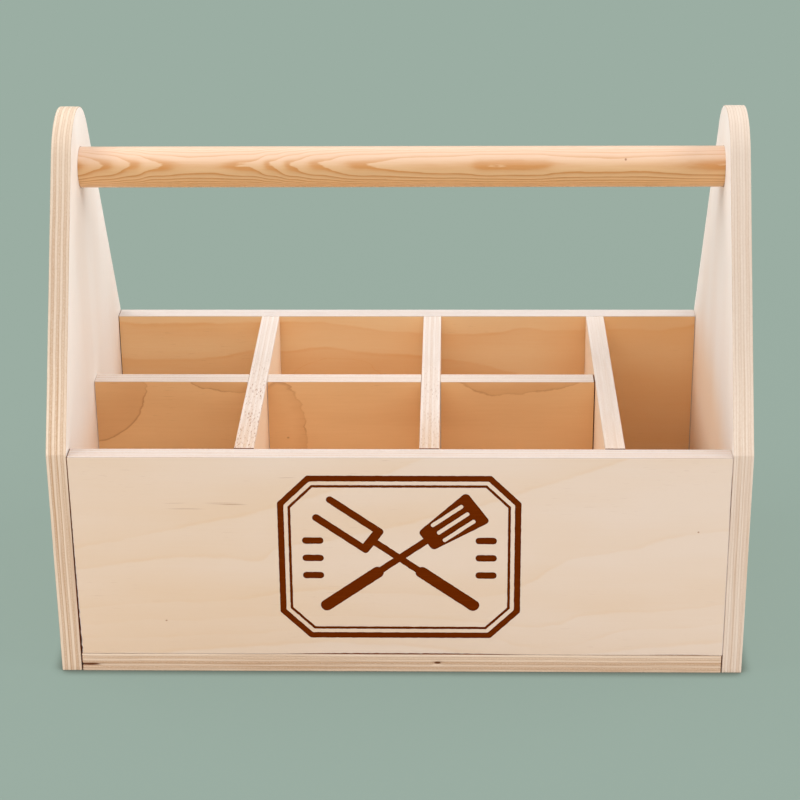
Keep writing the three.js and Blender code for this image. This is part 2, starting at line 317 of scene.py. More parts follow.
class CaddyFasteners(PropertyGroup):
    """Sizes of the nails and screws that the frame's boxes do not give."""

    nail_shank: length("Nail shank", "Diameter of a nail below its head", 1.4)
    nail_head: length("Nail head", "Height of a nail's head", 0.8)
    nail_point: length("Nail point", "Length of a nail's point", 2.5)
    screw_shank: length("Screw shank", "Diameter of a screw's core", 2.9)
    screw_thread: length("Screw thread", "Height of the thread on the core", 0.55)
    screw_pitch: length("Screw pitch", "Rise of the thread in one turn", 1.8)
    screw_neck: length("Screw neck", "Plain length below the head", 3)
    screw_point: length("Screw point", "Length of a screw's point", 5)
    recess_reach: length("Recess reach", "Arm of the cross recess from the middle", 2.3)
    recess_width: length("Recess width", "Width of the cross recess", 1.2)
    recess_depth: length("Recess depth", "Depth of the cross recess", 1.6)


class CaddyColours(PropertyGroup):
    """Colours of the woods, the mark, the steel and the ground."""

    birch_light: colour("Birch light", "Light veneer of the outer faces", 230, 210, 192)
    birch_dark: colour("Birch dark", "Growth lines of the outer faces", 226, 197, 166)
    gable_light: colour("Gable light", "Light veneer inside the side panels", 246, 239, 232)
    gable_dark: colour("Gable dark", "Streaks inside the side panels", 237, 221, 207)
    back_light: colour("Back light", "Light veneer inside the back panel", 249, 213, 163)
    back_dark: colour("Back dark", "Growth lines inside the back panel", 236, 174, 108)
    divider_light: colour("Divider light", "Light veneer of the long divider", 242, 195, 139)
    divider_dark: colour("Divider dark", "Growth lines of the long divider", 210, 150, 94)
    cross_light: colour("Cross light", "Light veneer of the cross dividers", 246, 221, 194)
    cross_dark: colour("Cross dark", "Streaks of the cross dividers", 240, 204, 168)
    edge_light: colour("Edge light", "Light plies of the front and back panels", 215, 204, 198)
    inner_edge: colour("Inner edge", "Light plies of the dividers", 229, 217, 209)
    sawn_light: colour("Sawn light", "Light plies of the left side and bottom panels", 240, 219, 196)
    pale_sawn: colour("Pale sawn", "Light plies of the right side panel", 234, 217, 201)
    edge_dark: colour("Edge dark", "Dark plies", 196, 158, 124)
    glue: colour("Glue", "Glue lines between the plies", 178, 140, 108)
    # Painted shade of the joint gaps and inside the voids between plies
    joint: colour("Joint", "Ends of the boards in a joint and voids between plies", 112, 62, 28)
    # Painted shade of the covered faces, which shows through the joint gaps
    joint_gap_shade: colour("Joint wall", "Faces that another board covers", 200, 100, 12)
    streak: colour("Streak", "Mineral streaks and pin knots", 150, 88, 44)
    # Painted shade on the upper edges of the side panels
    soil: colour("Soil", "Soil from hands on the upper edges of the side panels", 150, 132, 118)
    burn: colour("Burn", "Burnt mark", 101, 38, 3)
    burn_pale: colour("Burn pale", "Lighter grain in the burnt mark", 118, 52, 10)
    pine_light: colour("Pine light", "Early wood of the handle", 219, 173, 120)
    pine_dark: colour("Pine dark", "Late wood of the handle", 196, 126, 46)
    # Painted highlight: the wood between the rings made paler on the upper side of the handle
    pine_painted_highlight: colour("Pine pale", "Sapwood on the upper side of the handle", 227, 191, 164)
    # Painted bounce light: the wood between the rings made paler on the lower side of the handle
    pine_painted_underlight: colour("Pine under", "Early wood on the lower side of the handle", 240, 194, 138)
    zinc: colour("Zinc", "Plated nails and screws", 186, 184, 178)
    ground: colour("Ground", "Floor and backdrop", 155, 174, 163)
    shaded_ground: colour("Shaded ground", "Floor under the lamps, which takes the shadow", 131, 147, 138)
    contact: colour("Contact", "Floor right beside the caddy", 78, 82, 70)
    bounce: colour("Bounce", "What the floor gives back to the wood", 228, 225, 221)


class CaddyStudio(PropertyGroup):
    """Camera, lights and floor."""

    camera_place: FloatVectorProperty(
        name="Camera place", description="Where the camera stands", size=3, subtype="TRANSLATION",
        unit="LENGTH", default=(0.027, -1.101, 0.593),
    )
    camera_pitch: bearing("Camera pitch", "Tilt below the horizon", 23.72)
    camera_yaw: bearing("Camera yaw", "Turn to the left", 1.49)
    camera_roll: bearing("Camera roll", "Lean of the frame", 0.54)
    camera_lens: FloatProperty(
        name="Camera lens", description="Focal length in millimetres", default=100.8,
        subtype="DISTANCE_CAMERA",
    )
    sky: FloatProperty(name="Sky", description="Even light from all round", default=0.48, min=0)
    key_power: power("Key light", "Large panel above the front", 4.9)
    fill_power: power("Fill light", "Low panel in front", 0.8)
    top_power: power("Top light", "Strip above", 1.1)
    rim_power: power("Rim light", "Strip above the back", 2.0)
    left_power: power("Left light", "Raised panel at the left", 14.0)
    right_power: power("Right light", "Raised panel at the right", 40.0)
    floor_size: length("Floor size", "Side of the floor", 12000)
    contact_reach: length("Contact reach", "How far the contact shadow goes", 8)
    contact_shade: portion("Contact shade", "Depth of the contact shadow", 0.8)
    shadow_share: portion("Shadow share", "How much of the shadow the floor shows", 0.2)


# Outlines, in a board's own plane

# Sines in a ripple, points on a quarter round, and the fewest steps on an arc
SINES = 6
ROUND_POINTS = 5
ARC_STEPS = 3


def unit(vectors):
    """Each row scaled to length 1."""
    return vectors / np.linalg.norm(vectors, axis=1, keepdims=True)


def outline_loop(corners, radius, step):
    """Closed counterclockwise loop through the corners.

    Each corner is an arc, on which the heading turns evenly from the run that comes in to the run that goes
    out. Each straight run between two arcs is cut into equal steps no longer than step.
    """
    corners = np.asarray(corners, float)
    radii = np.broadcast_to(np.asarray(radius, float), len(corners))
    heading_in = unit(corners - np.roll(corners, 1, axis=0))
    heading_out = np.roll(heading_in, -1, axis=0)
    cross = heading_in[:, 0] * heading_out[:, 1] - heading_in[:, 1] * heading_out[:, 0]
    turn = np.arctan2(cross, (heading_in * heading_out).sum(axis=1))
    reach = (radii * np.abs(np.tan(turn / 2)))[:, None]
    starts = corners - heading_in * reach
    ends = corners + heading_out * reach
    first_angle = np.arctan2(heading_in[:, 1], heading_in[:, 0])
    loop = []
    for index, bend in enumerate(turn):
        arc_steps = max(ARC_STEPS, math.ceil(radii[index] * abs(bend) / step))
        angle = first_angle[index] + bend * np.linspace(0, 1, arc_steps + 1)
        spoke = np.stack([np.sin(angle), -np.cos(angle)], axis=1) * radii[index] * np.sign(bend)
        loop.append(starts[index] - spoke[0] + spoke)
        run_end = starts[(index + 1) % len(corners)]
        run_steps = max(1, math.ceil(np.linalg.norm(run_end - ends[index]) / step))
        loop.append(np.linspace(ends[index], run_end, run_steps + 1)[1:-1])
    return np.concatenate(loop)


def outward(loop):
    """Mitre direction at each point.

    It is the sum of the two neighbouring normals, scaled so that a step along it moves both edges alike.
    """
    edges = unit(np.roll(loop, -1, axis=0) - loop)
    normals = np.stack([edges[:, 1], -edges[:, 0]], axis=1)
    before = np.roll(normals, 1, axis=0)
    return (normals + before) / (1 + (normals * before).sum(axis=1, keepdims=True))


def run_along(loop):
    """Distance of each point along the loop, and the loop's whole length."""
    steps = np.linalg.norm(np.roll(loop, -1, axis=0) - loop, axis=1)
    return np.cumsum(steps) - steps, steps.sum()


def ripple(loop, rows, longest, shortest, seed):
    """Uneven wander along a loop, one row of it for each of rows.

    Each row is the mean of a few sines with whole waves round the loop and random phases.
    """
    draw = np.random.default_rng(seed)
    run, total = run_along(loop)
    drawn = (rows, SINES, 1)
    waves = np.round(total / draw.uniform(shortest, longest, drawn))
    phases = draw.uniform(0, FULL_TURN, drawn)
    return np.sin(FULL_TURN * waves * run / total + phases).mean(axis=1)


def rectangle(left, right, low, high):
    """Corners of a rectangle, counterclockwise."""
    return [(left, low), (right, low), (right, high), (left, high)]


def angles_round(count):
    """Angles of count points spread evenly round a turn."""
    return FULL_TURN * np.arange(count) / count


def circle(centre, radius, count):
    """Counterclockwise loop of count points round a centre."""
    angle = angles_round(count)
    return np.asarray(centre) + radius * np.stack([np.cos(angle), np.sin(angle)], axis=1)


def quarter_round(radius):
    """Rounding off a face: how deep each of its points lies below the face, and how far inside the rim."""
    angle = np.linspace(0, math.pi / 2, ROUND_POINTS)
    return radius * (1 - np.cos(angle)), radius * (1 - np.sin(angle))


def flat_bump(distance):
    """Flat-topped bump about 0 that ends near 1: e to the minus fourth power of the distance."""
    return np.exp(-distance ** 4)


def ring_quads(rings, around):
    """Quads between each ring of points and the next, for points numbered ring by ring."""
    here = np.arange(around)
    after = (here + 1) % around
    row = around * np.arange(rings - 1)[:, None]
    corners = [row + here, row + after, row + around + after, row + around + here]
    return np.stack(corners, axis=2).reshape(-1, 4)


def inside(points, loops):
    """Even-odd test: which points send a ray along the first axis across the loops an odd number of times."""
    crossings = np.zeros(len(points), int)
    for loop in loops:
        after = np.roll(loop, -1, axis=0)
        straddles = (loop[:, 1] > points[:, 1:]) != (after[:, 1] > points[:, 1:])
        rise = np.where(after[:, 1] == loop[:, 1], 1.0, after[:, 1] - loop[:, 1])
        meets = loop[:, 0] + (points[:, 1:] - loop[:, 1]) / rise * (after[:, 0] - loop[:, 0])
        crossings += (straddles & (meets > points[:, :1])).sum(axis=1)
    return crossings % 2 == 1


# Boards

# Hollows cut into a face: shapes, each an even-odd set of loops, and how deep they go
Pocket = namedtuple("Pocket", "shapes depth")

# Shares of a ply: between its outer rows and its glue lines, and over which a void spreads from its middle
GLUE_MARGIN = 0.12
VOID_SPREAD = 0.62

# Eases between a face and the nearest row of the plies, share of the relief that wanders along an edge, and
# the longest and shortest wave of that wander
RIM_ROOM = 1.2
WANDER_SHARE = 0.4
EDGE_WAVES = (30 * MM, 4 * MM)

# Points round a hollow for a head and round a handle's seat, and how near in millimetres two points of a face
# become one
HEAD_POINTS = 28
SEAT_POINTS = 96
MERGE_DISTANCE = 1e-5


def edge_profile(thickness, sizes, seed):
    """Depth and inset of the rows of an edge, from the low face to the high one.

    A quarter round of the ease leads off each face. Between them each ply has three rows, sunk by its own
    share of the relief, and each glue line has one row, sunk further by the groove.
    """
    ply = thickness / sizes.plies
    sunk = sizes.ply_relief * np.random.default_rng(seed).uniform(0, 1, sizes.plies)
    margin = GLUE_MARGIN * ply
    starts = ply * np.arange(sizes.plies)
    rows = np.stack([starts + margin, starts + ply / 2, starts + ply - margin], axis=1)
    glue_inset = np.maximum(sunk[1:], sunk[:-1]) + sizes.glue_groove
    depth = np.concatenate([rows.ravel(), starts[1:]])
    inset = np.concatenate([np.repeat(sunk, rows.shape[1]), glue_inset])
    room = RIM_ROOM * sizes.edge_ease
    clear = (depth > room) & (depth < thickness - room)
    order = np.argsort(depth[clear])
    round_depth, round_inset = quarter_round(sizes.edge_ease)
    depth = np.concatenate([round_depth, depth[clear][order], thickness - round_depth[::-1]])
    inset = np.concatenate([round_inset, inset[clear][order], round_inset[::-1]])
    return depth, inset


def capped_face(rim, first, level, inward, pockets, next_index):
    """Flat face inside a rim, with its pockets sunk into it.

    The rim and the pockets' loops are triangulated together. Triangles in a pocket move down to its floor,
    and a wall stands on each edge that parts them from the rest. The rim's points are already in the mesh,
    from number first, and new points are numbered from next_index.
    Gives new points, walls, flat triangles and sunk triangles, for a face that looks to the high side.
    """
    loops = [rim, *(loop for pocket in pockets for shape in pocket.shapes for loop in shape)]
    counts = [len(loop) for loop in loops]
    begins = np.cumsum([0, *counts[:-1]])
    edges = [
        np.stack([begin + np.arange(count), begin + (np.arange(count) + 1) % count], axis=1)
        for begin, count in zip(begins, counts)
    ]
    flat = np.concatenate(loops) / MM
    edges = np.concatenate(edges).tolist()
    found = delaunay_2d_cdt(list(map(Vector, flat)), edges, [], 0, MERGE_DISTANCE, True)
    spots = np.array(found[0]) * MM
    faces = np.array(found[2])
    source = np.array([ids[0] if ids else -1 for ids in found[3]])
    middles = spots[faces].mean(axis=1)
    kept = inside(middles, [rim])
    faces, middles = faces[kept], middles[kept]
    on_rim = (source >= 0) & (source < len(rim))
    index = first + source
    index[~on_rim] = next_index + np.arange((~on_rim).sum())
    points = [np.column_stack([spots[~on_rim], np.full((~on_rim).sum(), level)])]
    next_index += (~on_rim).sum()
    is_flat = np.ones(len(faces), bool)
    walls, floors = [], []
    for pocket in pockets:
        hollow = is_flat & np.any([inside(middles, shape) for shape in pocket.shapes], axis=0)
        is_flat &= ~hollow
        floor = faces[hollow]
        used = np.unique(floor)
        sunk = np.zeros(len(spots), int)
        sunk[used] = next_index + np.arange(len(used))
        next_index += len(used)
        points.append(np.column_stack([spots[used], np.full(len(used), level + inward * pocket.depth)]))
        floors.append(sunk[floor])
        sides = floor[:, [0, 1, 1, 2, 2, 0]].reshape(-1, 2)
        forth = sides[:, 0] * len(spots) + sides[:, 1]
        back = sides[:, 1] * len(spots) + sides[:, 0]
        start, end = sides[~np.isin(back, forth)].T
        walls.append(np.stack([sunk[end], sunk[start], index[start], index[end]], axis=1))
    walls = np.concatenate([np.zeros((0, 4), int), *walls])
    floors = np.concatenate([np.zeros((0, 3), int), *floors])
    return np.concatenate(points), walls, index[faces[is_flat]], floors


def board_surface(outline, low, high, sizes, seed, voids=(), low_pockets=(), high_pockets=()):
    """Closed board: its outline carried through the thickness on the edge profile, between two capped faces.

    A point lies at its outline point, moved inward along the mitre by the profile's inset, by an uneven share
    of the relief and by any void, which is a flat-topped bump of the distance from its middle.
    """
    depth, inset = edge_profile(high - low, sizes, seed)
    rows, count = len(depth), len(outline)
    inner = (depth > sizes.edge_ease) & (depth < high - low - sizes.edge_ease)
    uneven = WANDER_SHARE * sizes.ply_relief * inner[:, None]
    moved = inset[:, None] + uneven * ripple(outline, rows, *EDGE_WAVES, seed)
    ply = (high - low) / sizes.plies
    for void in voids:
        near = flat_bump(np.linalg.norm(outline - np.array(void.at), axis=1) / void.half_run)
        level = flat_bump((depth - ply * (void.ply + 0.5)) / (VOID_SPREAD * ply))
        moved = moved + void.depth * level[:, None] * near
    rims = outline - outward(outline) * np.maximum(moved, 0)[:, :, None]
    heights = np.broadcast_to((low + depth)[:, None, None], (rows, count, 1))
    points = [np.concatenate([rims, heights], axis=2).reshape(-1, 3)]
    edge_quads = ring_quads(rows, count)
    quads = [edge_quads]
    triangles = []
    quad_slots = [np.full(len(edge_quads), EDGE)]
    triangle_slots = []
    made = rows * count
    for rim, first, level, inward, pockets, slot in (
        (rims[0], 0, low, 1, low_pockets, LOW_FACE),
        (rims[-1], (rows - 1) * count, high, -1, high_pockets, HIGH_FACE),
    ):
        new_points, walls, flats, floors = capped_face(rim, first, level, inward, pockets, made)
        made += len(new_points)
        turn = -inward
        points.append(new_points)
        quads.append(walls[:, ::turn])
        triangles += [flats[:, ::turn], floors[:, ::turn]]
        quad_slots.append(np.full(len(walls), SUNK))
        triangle_slots += [np.full(len(flats), slot), np.full(len(floors), SUNK)]
    smooth = np.arange(sum(map(len, quads))) < len(edge_quads)
    return (
        np.concatenate(points), np.concatenate(quads), np.concatenate(triangles),
        np.concatenate(quad_slots), np.concatenate(triangle_slots), smooth,
    )


def plane_box(node, plane):
    """Lowest and highest corner of a CAD node in a board's own directions."""
    ends = np.array(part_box(node)) @ plane.T
    return ends.min(axis=0), ends.max(axis=0)


def add_mesh(
    name, points, quads, triangles, quad_slots, triangle_slots, smooth_quads, smooth_triangles=False
):
    """A mesh object of the quads and triangles, with their material slots and smoothing."""
    mesh = bpy.data.meshes.new(name)
    mesh.vertices.add(len(points))
    mesh.vertices.foreach_set("co", points.astype(np.float32).ravel())
    corners = np.concatenate([quads.ravel(), triangles.ravel()])
    mesh.loops.add(len(corners))
    mesh.loops.foreach_set("vertex_index", corners.astype(np.int32))
    starts = np.concatenate([4 * np.arange(len(quads)), quads.size + 3 * np.arange(len(triangles))])
    mesh.polygons.add(len(starts))
    mesh.polygons.foreach_set("loop_start", starts.astype(np.int32))
    slots = np.concatenate([quad_slots, triangle_slots])
    mesh.polygons.foreach_set("material_index", slots.astype(np.int32))
    smooth = np.concatenate([
        np.broadcast_to(smooth_quads, len(quads)), np.broadcast_to(smooth_triangles, len(triangles))
    ])
    mesh.polygons.foreach_set("use_smooth", smooth)
    mesh.update(calc_edges=True)
    if mesh.validate():
        raise RuntimeError(f"{name} has faces that do not hold together")
    piece = bpy.data.objects.new(name, mesh)
    bpy.context.scene.collection.objects.link(piece)
    return piece


def settle(piece, node, materials):
    """Gives a piece its materials, and puts it in the place of its CAD node."""
    for material in materials:
        piece.data.materials.append(material)
    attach(piece, BODY)
    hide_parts(node)


def add_board(node, plane, outline, materials, **hollows):
    """Builds a board over its CAD node: the outline gives its shape, and the node's box its faces."""
    sizes = bpy.context.scene.caddy_boards
    low, high = plane_box(node, plane)
    points, *faces = board_surface(outline, low[2], high[2], sizes, SEEDS[node], **hollows)
    piece = add_mesh(f"{node}_dressed", points @ plane, *faces)
    settle(piece, node, materials)


# Fasteners and the handle, turned about an axis

# Rounding of the handle's rims and longest step along it
HANDLE_EASE = 1 * MM
HANDLE_STEP = 2 * MM

Fastener = namedtuple("Fastener", "node axis heading head radius reach")


def fasteners(kind):
    """Every nail or screw of the frame: its axis and heading, its head's middle, its radius and its reach.

    A fastener lies along the longest side of its box, with its head at the end nearer to the outside.
    """
    found = []
    for node in sorted(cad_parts):
        if kind not in node:
            continue
        low, high = np.array(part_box(node))
        axis = int(np.argmax(high - low))
        middle = (low + high) / 2
        outer_low, outer_high = np.array(CAD_BOX)[:, axis]
        at_low = low[axis] - outer_low < outer_high - high[axis]
        middle[axis] = low[axis] if at_low else high[axis]
        radius = (high - low)[(axis + 1) % 3] / 2
        found.append(Fastener(node, axis, 1 if at_low else -1, middle, radius, (high - low)[axis]))
    return found


def head_pockets(plane, outward_way):
    """Pockets for the heads that lie in the face of a board which looks along outward_way."""
    sizes = bpy.context.scene.caddy_boards
    pockets = []
    for fastener in (*fasteners("_nail_"), *fasteners("_screw_")):
        into = fastener.heading * np.eye(3)[fastener.axis]
        if np.allclose(into, -np.asarray(outward_way)):
            centre = (plane @ fastener.head)[:2]
            hollow = circle(centre, fastener.radius + sizes.head_clearance, HEAD_POINTS)
            pockets.append(Pocket([[hollow]], sizes.head_pocket))
    return pockets


def turned_surface(radius, along, tips):
    """Closed turned surface: rings of the given radius and place along the axis, shut by a fan at each tip.

    radius and along have a row for each ring and a column for each place round it.
    """
    rings, around = radius.shape
    angle = angles_round(around)
    grid = np.stack([radius * np.cos(angle), radius * np.sin(angle), along], axis=2).reshape(-1, 3)
    points = np.concatenate([grid, [[0, 0, tips[0]], [0, 0, tips[1]]]])
    here = np.arange(around)
    after = (here + 1) % around
    last = around * (rings - 1)
    tip = np.full(around, len(grid))
    first_fan = np.stack([after, here, tip], axis=1)
    last_fan = np.stack([last + here, last + after, tip + 1], axis=1)
    return points, ring_quads(rings, around), np.concatenate([first_fan, last_fan])


def axis_turn(axis, heading):
    """Rows are the world directions of a turned surface's own axes, with its length along the heading."""
    length_way = heading * np.eye(3)[axis]
    first = np.eye(3)[(axis + 1) % 3]
    return np.array([first, np.cross(length_way, first), length_way])


def add_turned(node, axis, heading, origin, surface, materials):
    """Builds a turned piece over its CAD node, from an origin along an axis."""
    points, quads, triangles = surface
    placed = origin + points @ axis_turn(axis, heading)
    slots = np.zeros(len(quads), int), np.zeros(len(triangles), int)
    piece = add_mesh(f"{node}_dressed", placed, quads, triangles, *slots, True, True)
    settle(piece, node, materials)


def smooth_step(low, high, value):
    """0 below low, 1 above high and an even bend between."""
    share = np.clip((value - low) / (high - low), 0, 1)
    return share * share * (3 - 2 * share)


def screw_surface(sizes, head_radius, reach):
    """Countersunk screw along its axis, from the head's top to the point.

    The top is sunk where the smaller of the two cross distances is less than the recess's half width. The
    cone has a right angle. On the thread, the radius rises in a ridge, whose place advances by one pitch in
    each turn.
    """
    around, top_rings, cone_rings, rings_in_turn = 64, 16, 8, 10
    eye_share, rim_share, tip_share = 0.06, 0.05, 0.04
    tip_room = 0.2 * MM
    ridge_slope = 4
    angle = angles_round(around)
    core = sizes.screw_shank / 2
    rim = rim_share * head_radius
    top = np.linspace(eye_share, 1 - rim / head_radius, top_rings) * head_radius
    cone = np.linspace(head_radius, core, cone_rings)
    thread_start = head_radius - core + sizes.screw_neck
    thread = np.arange(thread_start, reach - tip_room, sizes.screw_pitch / rings_in_turn)
    taper = np.clip((reach - thread) / sizes.screw_point, tip_share, 1)
    ring_radius = np.concatenate([top, [head_radius], cone, core * taper])
    ring_along = np.concatenate([np.zeros(len(top)), [rim], 2 * rim + head_radius - cone, thread])
    radius = np.repeat(ring_radius[:, None], around, axis=1)
    along = np.repeat(ring_along[:, None], around, axis=1)
    arm = np.minimum(np.abs(np.cos(angle)), np.abs(np.sin(angle))) * radius
    recess_wall = (0.35 * sizes.recess_width, 0.6 * sizes.recess_width)
    recess_end = (0.75 * sizes.recess_reach, sizes.recess_reach)
    sunk = 1 - smooth_step(*recess_wall, arm)
    sunk = sunk * (1 - smooth_step(*recess_end, radius))
    is_top = np.arange(len(ring_radius)) < len(top)
    along = along + sizes.recess_depth * sunk * is_top[:, None]
    off_ridge = np.abs((along / sizes.screw_pitch - angle / FULL_TURN) % 1 - 0.5)
    on_thread = np.concatenate([np.zeros(len(ring_radius) - len(thread)), taper])
    ridge = np.clip(1 - ridge_slope * off_ridge, 0, 1)
    radius = radius + sizes.screw_thread * on_thread[:, None] * ridge
    return turned_surface(radius, along, (sizes.recess_depth, reach))


def nail_surface(sizes, head_radius, reach):
    """Wire nail along its axis: a slightly domed head, a round shank and a long point.

    The head's top falls with the square of the distance from the axis. Below it, the profile gives the radius
    and the place along the axis of each ring.
    """
    around, top_rings = 20, 4
    shank, head, point = sizes.nail_shank / 2, sizes.nail_head, sizes.nail_point
    dome = 0.06 * head_radius
    top = np.linspace(0.2, 0.92, top_rings)
    profile = np.array([
        (head_radius, 2 * dome), (head_radius, 0.7 * head), (1.05 * shank, head), (shank, 1.4 * head),
        (shank, reach - point), (0.45 * shank, reach - 0.3 * point),
    ])
    ring_radius = np.concatenate([top * head_radius, profile[:, 0]])
    ring_along = np.concatenate([dome * top ** 2, profile[:, 1]])
    spread = np.ones((1, around))
    return turned_surface(ring_radius[:, None] * spread, ring_along[:, None] * spread, (0, reach))


def dowel_surface(radius, ends, ease, step):
    """Round bar between two ends on its axis, with eased rims and a very slight unevenness from sanding.

    The unevenness is the sum of two sines, each with whole waves round the bar and a rate along it.
    """
    around, face_rings = 96, 5
    depth_of_sanding = 0.0012
    waves = ((3, 60), (5, -37))
    first, last = ends
    face = np.linspace(0.15, 0.85, face_rings) * (radius - ease)
    round_along, round_inset = quarter_round(ease)
    rim_radius = np.concatenate([face, radius - round_inset])
    rim_along = np.concatenate([np.zeros(len(face)), round_along])
    body = np.linspace(first + ease, last - ease, math.ceil((last - first) / step))[1:-1]
    ring_radius = np.concatenate([rim_radius, np.full(len(body), radius), rim_radius[::-1]])
    ring_along = np.concatenate([first + rim_along, body, last - rim_along[::-1]])
    turn = angles_round(around)
    uneven = sum(np.sin(count * turn + rate * ring_along[:, None]) for count, rate in waves)
    radius_grid = ring_radius[:, None] * (1 - depth_of_sanding * (1 + 0.5 * uneven))
    along_grid = np.repeat(ring_along[:, None], around, axis=1)
    return turned_surface(radius_grid, along_grid, ends)


# The mark: a fork and a turner, crossed in a frame with cut corners

# Parts of the tools, as shares of a tool's half length
GRIP_END, GRIP_WIDTH, GRIP_ROUND = -0.22, 0.13, 0.06
ROD_OVERLAP, ROD_WIDTH, ROD_ROUND = 0.08, 0.075, 0.01
TURNER_ROD_END = 0.40
BLADE_START, BLADE_HALF_NECK, BLADE_HALF_WIDTH = 0.33, 0.13, 0.21
SLOT_START, SLOT_END, SLOT_WIDTH, SLOT_ROUND = 0.48, 0.88, 0.042, 0.018
SLOT_MIDDLES = (-0.105, 0, 0.105)
YOKE_START, YOKE_DEPTH, YOKE_HALF_WIDTH, YOKE_LAP = 0.30, 0.1, 0.165, 0.03
PRONG_MIDDLES, PRONG_WIDTH, PRONG_ROUND = (-0.125, 0.125), 0.08, 0.038
CORNER_ROUND = 0.045

# Short bars at each side of the tools, in the same shares, and the step along all outlines of the mark
BAR_ENDS, BAR_WIDTH, BAR_ROUND = (0.78, 1.0), 0.075, 0.035
BAR_MIDDLES = (-0.2, 0, 0.2)
MARK_STEP = 0.9 * MM

# Longest and shortest wave of the burnt edges
BURN_WAVES = (12 * MM, 2 * MM)

# How much shorter a cut corner gets for each length of inset: across a line, which so keeps its width, and
# from the outer line to the inner one
CLIP_LOSS = 2 - math.sqrt(2)
INNER_CLIP_LOSS = 0.58


def bar(left, right, middle, width, radius):
    """Rounded bar from left to right about a middle line."""
    return outline_loop(rectangle(left, right, middle - width / 2, middle + width / 2), radius, MARK_STEP)


def grip_and_rod(reach, rod_end):
    """Grip and rod of a tool along the first axis."""
    grip = GRIP_END * reach
    return [
        [bar(-reach, grip, 0, GRIP_WIDTH * reach, GRIP_ROUND * reach)],
        [bar(grip - ROD_OVERLAP * reach, rod_end, 0, ROD_WIDTH * reach, ROD_ROUND * reach)],
    ]


def turner_shapes(reach):
    """Slotted turner along the first axis, as shapes whose union is the tool."""
    blade, neck, half = BLADE_START * reach, BLADE_HALF_NECK * reach, BLADE_HALF_WIDTH * reach
    flare = [(blade, -neck), (reach, -half), (reach, half), (blade, neck)]
    slots = [
        bar(SLOT_START * reach, SLOT_END * reach, middle * reach, SLOT_WIDTH * reach, SLOT_ROUND * reach)
        for middle in SLOT_MIDDLES
    ]
    blade_loops = [outline_loop(flare, CORNER_ROUND * reach, MARK_STEP), *slots]
    return [*grip_and_rod(reach, TURNER_ROD_END * reach), blade_loops]


def fork_shapes(reach):
    """Two-pronged fork along the first axis, as shapes whose union is the tool."""
    yoke, half = YOKE_START * reach, YOKE_HALF_WIDTH * reach
    yoke_corners = rectangle(yoke, yoke + YOKE_DEPTH * reach, -half, half)
    prongs = [
        [bar(yoke, reach, middle * reach, PRONG_WIDTH * reach, PRONG_ROUND * reach)]
        for middle in PRONG_MIDDLES
    ]
    return [
        *grip_and_rod(reach, yoke + YOKE_LAP * reach),
        [outline_loop(yoke_corners, CORNER_ROUND * reach, MARK_STEP)],
        *prongs,
    ]


def frame_ring(width, height, clip, line):
    """Frame with cut corners: an outer and an inner loop, a line's width apart."""
    loops = []
    for inset in (0, line):
        across, up = width / 2 - inset, height / 2 - inset
        cut = clip - inset * CLIP_LOSS
        corners = [
            (-across + cut, -up), (across - cut, -up), (across, -up + cut), (across, up - cut),
            (across - cut, up), (-across + cut, up), (-across, up - cut), (-across, -up + cut),
        ]
        loops.append(outline_loop(corners, line / 2, MARK_STEP))
    return loops


def mark_pocket(mark, centre):
    """The whole mark as one pocket: frame lines, crossed tools and bars at each side, with uneven edges."""
    inner = mark.thick_line + mark.line_gap
    inner_width, inner_height = mark.width - 2 * inner, mark.height - 2 * inner
    shapes = [
        frame_ring(mark.width, mark.height, mark.clip, mark.thick_line),
        frame_ring(inner_width, inner_height, mark.clip - INNER_CLIP_LOSS * inner, mark.thin_line),
    ]
    reach = mark.tool_length / 2
    tools = ((turner_shapes, mark.tool_angle), (fork_shapes, math.pi - mark.tool_angle))
    for tool_shapes, slope in tools:
        turn = np.array([[math.cos(slope), math.sin(slope)], [-math.sin(slope), math.cos(slope)]])
        shapes += [[loop @ turn for loop in shape] for shape in tool_shapes(reach)]
    for side in (-1, 1):
        left, right = sorted(side * end * reach for end in BAR_ENDS)
        for middle in BAR_MIDDLES:
            shapes.append([bar(left, right, middle * reach, BAR_WIDTH * reach, BAR_ROUND * reach)])
    seed = 0
    uneven = []
    for shape in shapes:
        loops = []
        for loop in shape:
            seed += 1
            wander = mark.burn_wander * ripple(loop, 1, *BURN_WAVES, seed)[0]
            loops.append(np.asarray(centre) + loop + outward(loop) * wander[:, None])
        uneven.append(loops)
    return Pocket(uneven, mark.burn_depth)


# Materials

FLOAT = "NodeSocketFloat"
VECTOR = "NodeSocketVector"

# How nodes are set out in a tree
NODES_IN_ROW = 12
NODE_STEP = (220, -260)

# Gloss of bare wood, strength of its relief, and how much handling soils it
WOOD_GLOSS = {"Specular IOR Level": 0.3}
RELIEF_STRENGTH = 0.35
SOIL_SHARE = 0.06

# Shares of fibres and flecks in the tone of a veneer, and half the length over which its tone leans, in
# millimetres
FIBRE_SHARE = 0.31
FLECK_SHARE = 0.18
HALF_LENGTH = 165.0

# Growth lines in millimetres: the highest place across the grain, how far the lines and the streaks drift,
# and the width of the seam round a patch
LINE_TOP = 150.0
LINE_DRIFT = 5.0
STREAK_DRIFT = 1.5
PATCH_SEAM = 1.3


